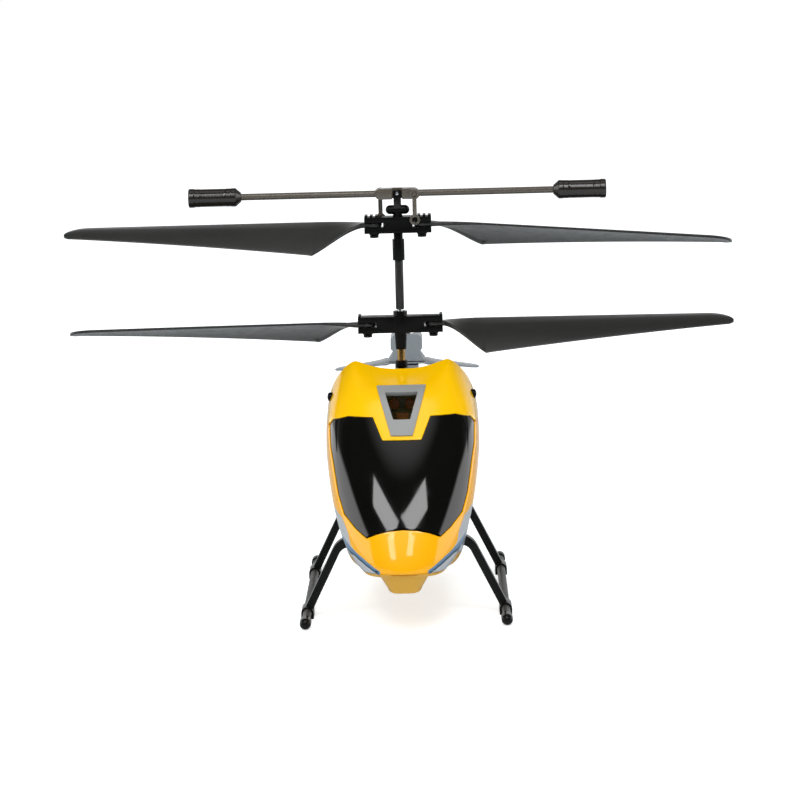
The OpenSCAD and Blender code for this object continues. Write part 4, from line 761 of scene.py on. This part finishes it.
def wing_point(s, x):
    """The stabiliser's two wings as one loft: an ellipse at each x, with s round it. The chord narrows
    and the whole droops on a straight line from the seat, the root is thicker, and the tip closes in a
    round."""
    out = np.abs(x)
    t = np.clip((out - wing_seat) / (wing_half - wing_seat), 0, 1)
    tip = np.sqrt(np.clip((wing_half - out) / tip_round, 0, 1))
    chord = mix(wing_root, wing_tip, t) * tip
    root = seat_thick * (1 - t) ** 8 * ease((out - seat_edge) / seat_over)
    thick = (wing_thick + root) * mix(1.0, tip_thin, t) * np.sqrt(np.clip((wing_half - out) / tip_edge, 0, 1))
    y = wing_y + wing_sweep * t + chord / 2 * np.cos(s)
    z = wing_base + wing_thick / 2 - wing_droop * t + thick / 2 * np.sin(s)
    return np.stack([x, y, z], -1)


wing_points, wing_quads = rings(wing_point, 48, wing_half * np.sin(np.linspace(-np.pi / 2, np.pi / 2, 121)))
skin_piece("stabiliser_wing", "stabiliser", tail_grey, wing_points, wing_quads[:, ::-1])
tail_rotor_plastic = moulded("tail_rotor_plastic", (40, 40, 40), 0.3)
rounded("tail_rotor", tail_rotor_plastic, 0.2)


# The drive: two pale nylon gears, one on the lower rotor's brass tube and one on the steel rod inside it.
# A black collar holds the tube down, and a dark sleeve covers the rod between the hubs.
for node in ("upper_gear", "lower_gear"):
    rounded(node, white_nylon, 0)
rounded("outer_shaft", turned_brass, 0.05)
rounded("inner_shaft", bright_steel, 0.1)
rounded("shaft_collar", black_nylon, 0.2)
sleeve_plastic = moulded("sleeve_plastic", (38, 38, 35), 0.36, {"Specular IOR Level": 0.3}, grain=0.002)
rounded("mast_sleeve", sleeve_plastic, 0.12)


# Each rotor has a black hub, slotted at both ends for the blades' tabs, which pivot on a screw from below.
# The upper hub rocks on a pin through the rotor head.
for node in ("lower_hub", "upper_hub", "rotor_head"):
    rounded(node, black_nylon, 0.18)
black_screw = drawn("black_screw", (30, 30, 30), (46, 46, 46), 0.35, (1800, 1800, 400))
for node in ("lower_blade_screws", "upper_blade_screws"):
    rounded(node, black_screw, 0.2)
for node in ("feather_pin", "flybar_pin"):
    rounded(node, bright_steel, 0.1)


# Four blades of thin dark plastic, broad at the root and twisted towards the tip.
# Each has a flat tab in its hub, and a thicker rim under its front edge and its slanted root.
blade_tip, blade_corner, blade_thick, bow_share, blade_sides = 95.0, 24.0, 1.0, 0.05, 96
tab_r, tab_half, tab_ease, tab_neck, tab_thick = 2.3, 1.9, 2.0, 3.2, 1.4
front_round, back_round, front_edge_r, back_edge_r = 7.0, 2.5, 0.5, 0.4
root_trail, tip_trail, root_lead, tip_lead = 16.6, 5.1, 2.4, 3.4
root_pitch, tip_pitch, hollow_depth, front_rim, root_rim, rim_fade = 24.0, 16.0, 0.26, 1.1, 1.7, 0.5
lower_screw, upper_screw, lower_blade_z, upper_blade_z = 9.4, 6.8, 79.6, 108.1


def tip_curve(r, reach):
    """How far an edge has curved in over the blade's last reach: a quarter ellipse from 0 to 1 at the tip."""
    return 1 - np.sqrt(1 - np.clip((r - blade_tip + reach) / reach, 0, 1) ** 2)


def edge_round(inset, radius):
    """Share of the thickness at an inset from an edge: a quarter circle of the radius, and 1 past it."""
    return np.sqrt(np.clip(1 - (1 - np.clip(inset / radius, 0, 1)) ** 2, 0, 1))


def blade_point(s, r, screw, droop):
    """A blade along +X with its front edge to +Y. r is the distance from the mast, and s runs round the
    section: along the underside from front to back, then back over the top. The chord grows from the tab
    to the corner on a straight line and narrows to the tip, where the front edge curves back in a quarter
    ellipse and the back edge in a smaller one. Half the thickness is an interpolated profile closed by a
    round at each edge, on a bowed mean line, and the section is turned by the pitch at r and lowered by
    the droop. The last value is 1 on the underside's thick rim."""
    r0 = screw + tab_neck
    root = np.clip((r - r0) / (blade_corner - r0), 0, 1)
    tab_end = np.sqrt(np.clip(1 - np.clip((screw - r) / tab_r, 0, 1) ** 2, 0, 1))
    tab = tab_end * mix(tab_half, tab_r, ease((screw + tab_ease - r) / tab_ease))
    taper = np.clip((r - blade_corner) / (blade_tip - front_round - blade_corner), 0, 1.1)
    trail = mix(tab, mix(root_trail, tip_trail, taper), root)
    lead = mix(tab, mix(root_lead, tip_lead, taper), root)
    lead = mix(lead, -0.5 * trail, tip_curve(r, front_round))
    trail = mix(trail, 0.5 * trail, tip_curve(r, back_round))
    chord = lead + trail
    top = np.where(s < 0.5, -1.0, 1.0)
    share = 0.5 - 0.5 * np.cos(2 * np.pi * np.where(s < 0.5, s, 1 - s))
    from_front, from_back = share * chord, (1 - share) * chord
    profile = np.interp(share, [0, 0.06, 0.3, 0.65, 0.95, 1], [0.5, 0.8, 1, 0.85, 0.55, 0.4])
    round_front = edge_round(from_front, front_edge_r)
    round_back = edge_round(from_back, back_edge_r)
    slanted = (1 - ease((from_back - root_rim) / rim_fade)) * (1 - ease((r - blade_corner - 0.5) / 1.5))
    rim = np.maximum(1 - ease((from_front - front_rim) / rim_fade), slanted)
    inner = ease((r - r0 - 2) / 4) * ease((blade_tip - r - 1) / 3)
    hollow = np.where(top < 0, hollow_depth * (1 - rim) * inner, 0)
    half = mix(tab_thick, blade_thick, root) / 2 * mix(1.0, profile, root) * round_front * round_back
    bow = 4 * share * (1 - share) * bow_share * chord * root
    twist = mix(root_pitch, tip_pitch, np.clip((r - blade_corner) / (blade_tip - blade_corner), 0, 1))
    pitch = np.radians(twist * (2 - root) * root)
    across = lead - from_front
    up = bow + top * half + hollow * np.minimum(round_front, round_back)
    y = across * np.cos(pitch) - up * np.sin(pitch)
    z = across * np.sin(pitch) + up * np.cos(pitch) - math.tan(math.radians(droop)) * np.maximum(r - r0, 0)
    return r, y, z, np.where(top < 0, rim, 0.0) * root


def blade(node, screw, droop, hub_z, side, lead):
    """Carries the blade's surface to its hub: side is +1 for the right blade, lead is +1 where its front
    edge points to the back of the toy."""
    near = np.linspace(screw - tab_r, blade_corner + 3, 70)
    far = np.linspace(blade_corner + 3, blade_tip - front_round, 60)[1:]
    end = blade_tip - front_round + front_round * np.sin(np.linspace(0, np.pi / 2, 24))[1:]
    s, r = np.meshgrid(np.linspace(0, 1, blade_sides, endpoint=False), np.concatenate([near, far, end]))
    x, y, z, rim = blade_point(s, r, screw, droop)
    points = np.stack([side * x, lead * y, z + hub_z], -1).reshape(-1, 3)
    quads = loop_quads(*s.shape)
    quads = quads[:, ::-1] if side * lead > 0 else quads
    marks = {"rim": rim.reshape(-1)}
    skin_piece(node + "_skin", node, blade_plastic, points, quads, marks=marks)


blade_plastic = moulded("blade_plastic", (42, 42, 41), 0.33, {"Specular IOR Level": 0.4}, grain=0.001,
                        spread=0.05, cloud=35.0)
rim_mark = add(blade_plastic.node_tree, "ShaderNodeAttribute", attribute_name="rim")
paint_over(blade_plastic, rim_mark.outputs["Fac"], linear(16, 16, 16))
blade("lower_right_blade", lower_screw, 0.5, lower_blade_z, side=1, lead=1)
blade("lower_left_blade", lower_screw, 0.5, lower_blade_z, side=-1, lead=-1)
blade("upper_right_blade", upper_screw, 4.6, upper_blade_z, side=1, lead=-1)
blade("upper_left_blade", upper_screw, 0.3, upper_blade_z, side=-1, lead=1)


# The flybar is moulded in smoked plastic: a yoke on the head's post, a thin rod to each side and a weight
# on each end. Two smoked links hang from its stubs and tilt the upper hub.
def smoked(name, colour, clear):
    """Smoked plastic: a moulded skin that lets part of the light through."""
    finish = {"Transmission Weight": clear, "IOR": 1.49}
    return moulded(name, colour, 0.24, finish, drift=0.05, grain=0.0, spread=0.03)


smoked_rod = smoked("smoked_rod", (98, 91, 82), 0.3)
smoked_link = smoked("smoked_link", (104, 97, 88), 0.4)
smoked_barrel = moulded("smoked_barrel", (30, 26, 22), 0.2, drift=0.12, grain=0.0, spread=0.04)
rounded("flybar", smoked_rod, 0.2)
for node in ("front_link", "rear_link"):
    rounded(node, smoked_link, 0.15)
rounded("weight_slugs", bright_steel, 0.2)
flybar_low, flybar_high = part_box("flybar_pin")
flybar_z, weight_end = (flybar_low.z + flybar_high.z) * 500, 59.2


def barrel_point(s, t):
    """A weight as a lathe shape: t runs along its profile, s round the rod. The profile goes from the
    outer face over a raised rim, along the barrel with its shallow band, over the inner rim and down a
    cone to the rod."""
    along = np.array([0, 0, 0.1, 0.3, 1.5, 1.65, 1.8, 3.2, 3.3, 10.6, 10.7, 12, 12.15, 12.3, 13.3, 13.5, 14,
                      14.5, 14.85, 15])
    radius = np.array([0, 2.4, 2.6, 2.7, 2.7, 2.66, 2.58, 2.58, 2.54, 2.54, 2.58, 2.58, 2.61, 2.64, 2.64,
                       2.55, 2.1, 1.65, 1.35, 0.95])
    stops = np.linspace(0, 1, len(along))
    a = np.interp(t, stops, along)
    b = np.interp(t, stops, radius)
    return np.stack([weight_end - a, b * np.cos(s), b * np.sin(s) + flybar_z], -1)


barrel, barrel_quads = rings(barrel_point, 72, np.linspace(0, 1, 229))
skin_piece("right_weight_barrel", "right_weight", smoked_barrel, barrel, barrel_quads)
skin_piece("left_weight_barrel", "left_weight", smoked_barrel, barrel * (-1, 1, 1),
           barrel_quads[:, ::-1])
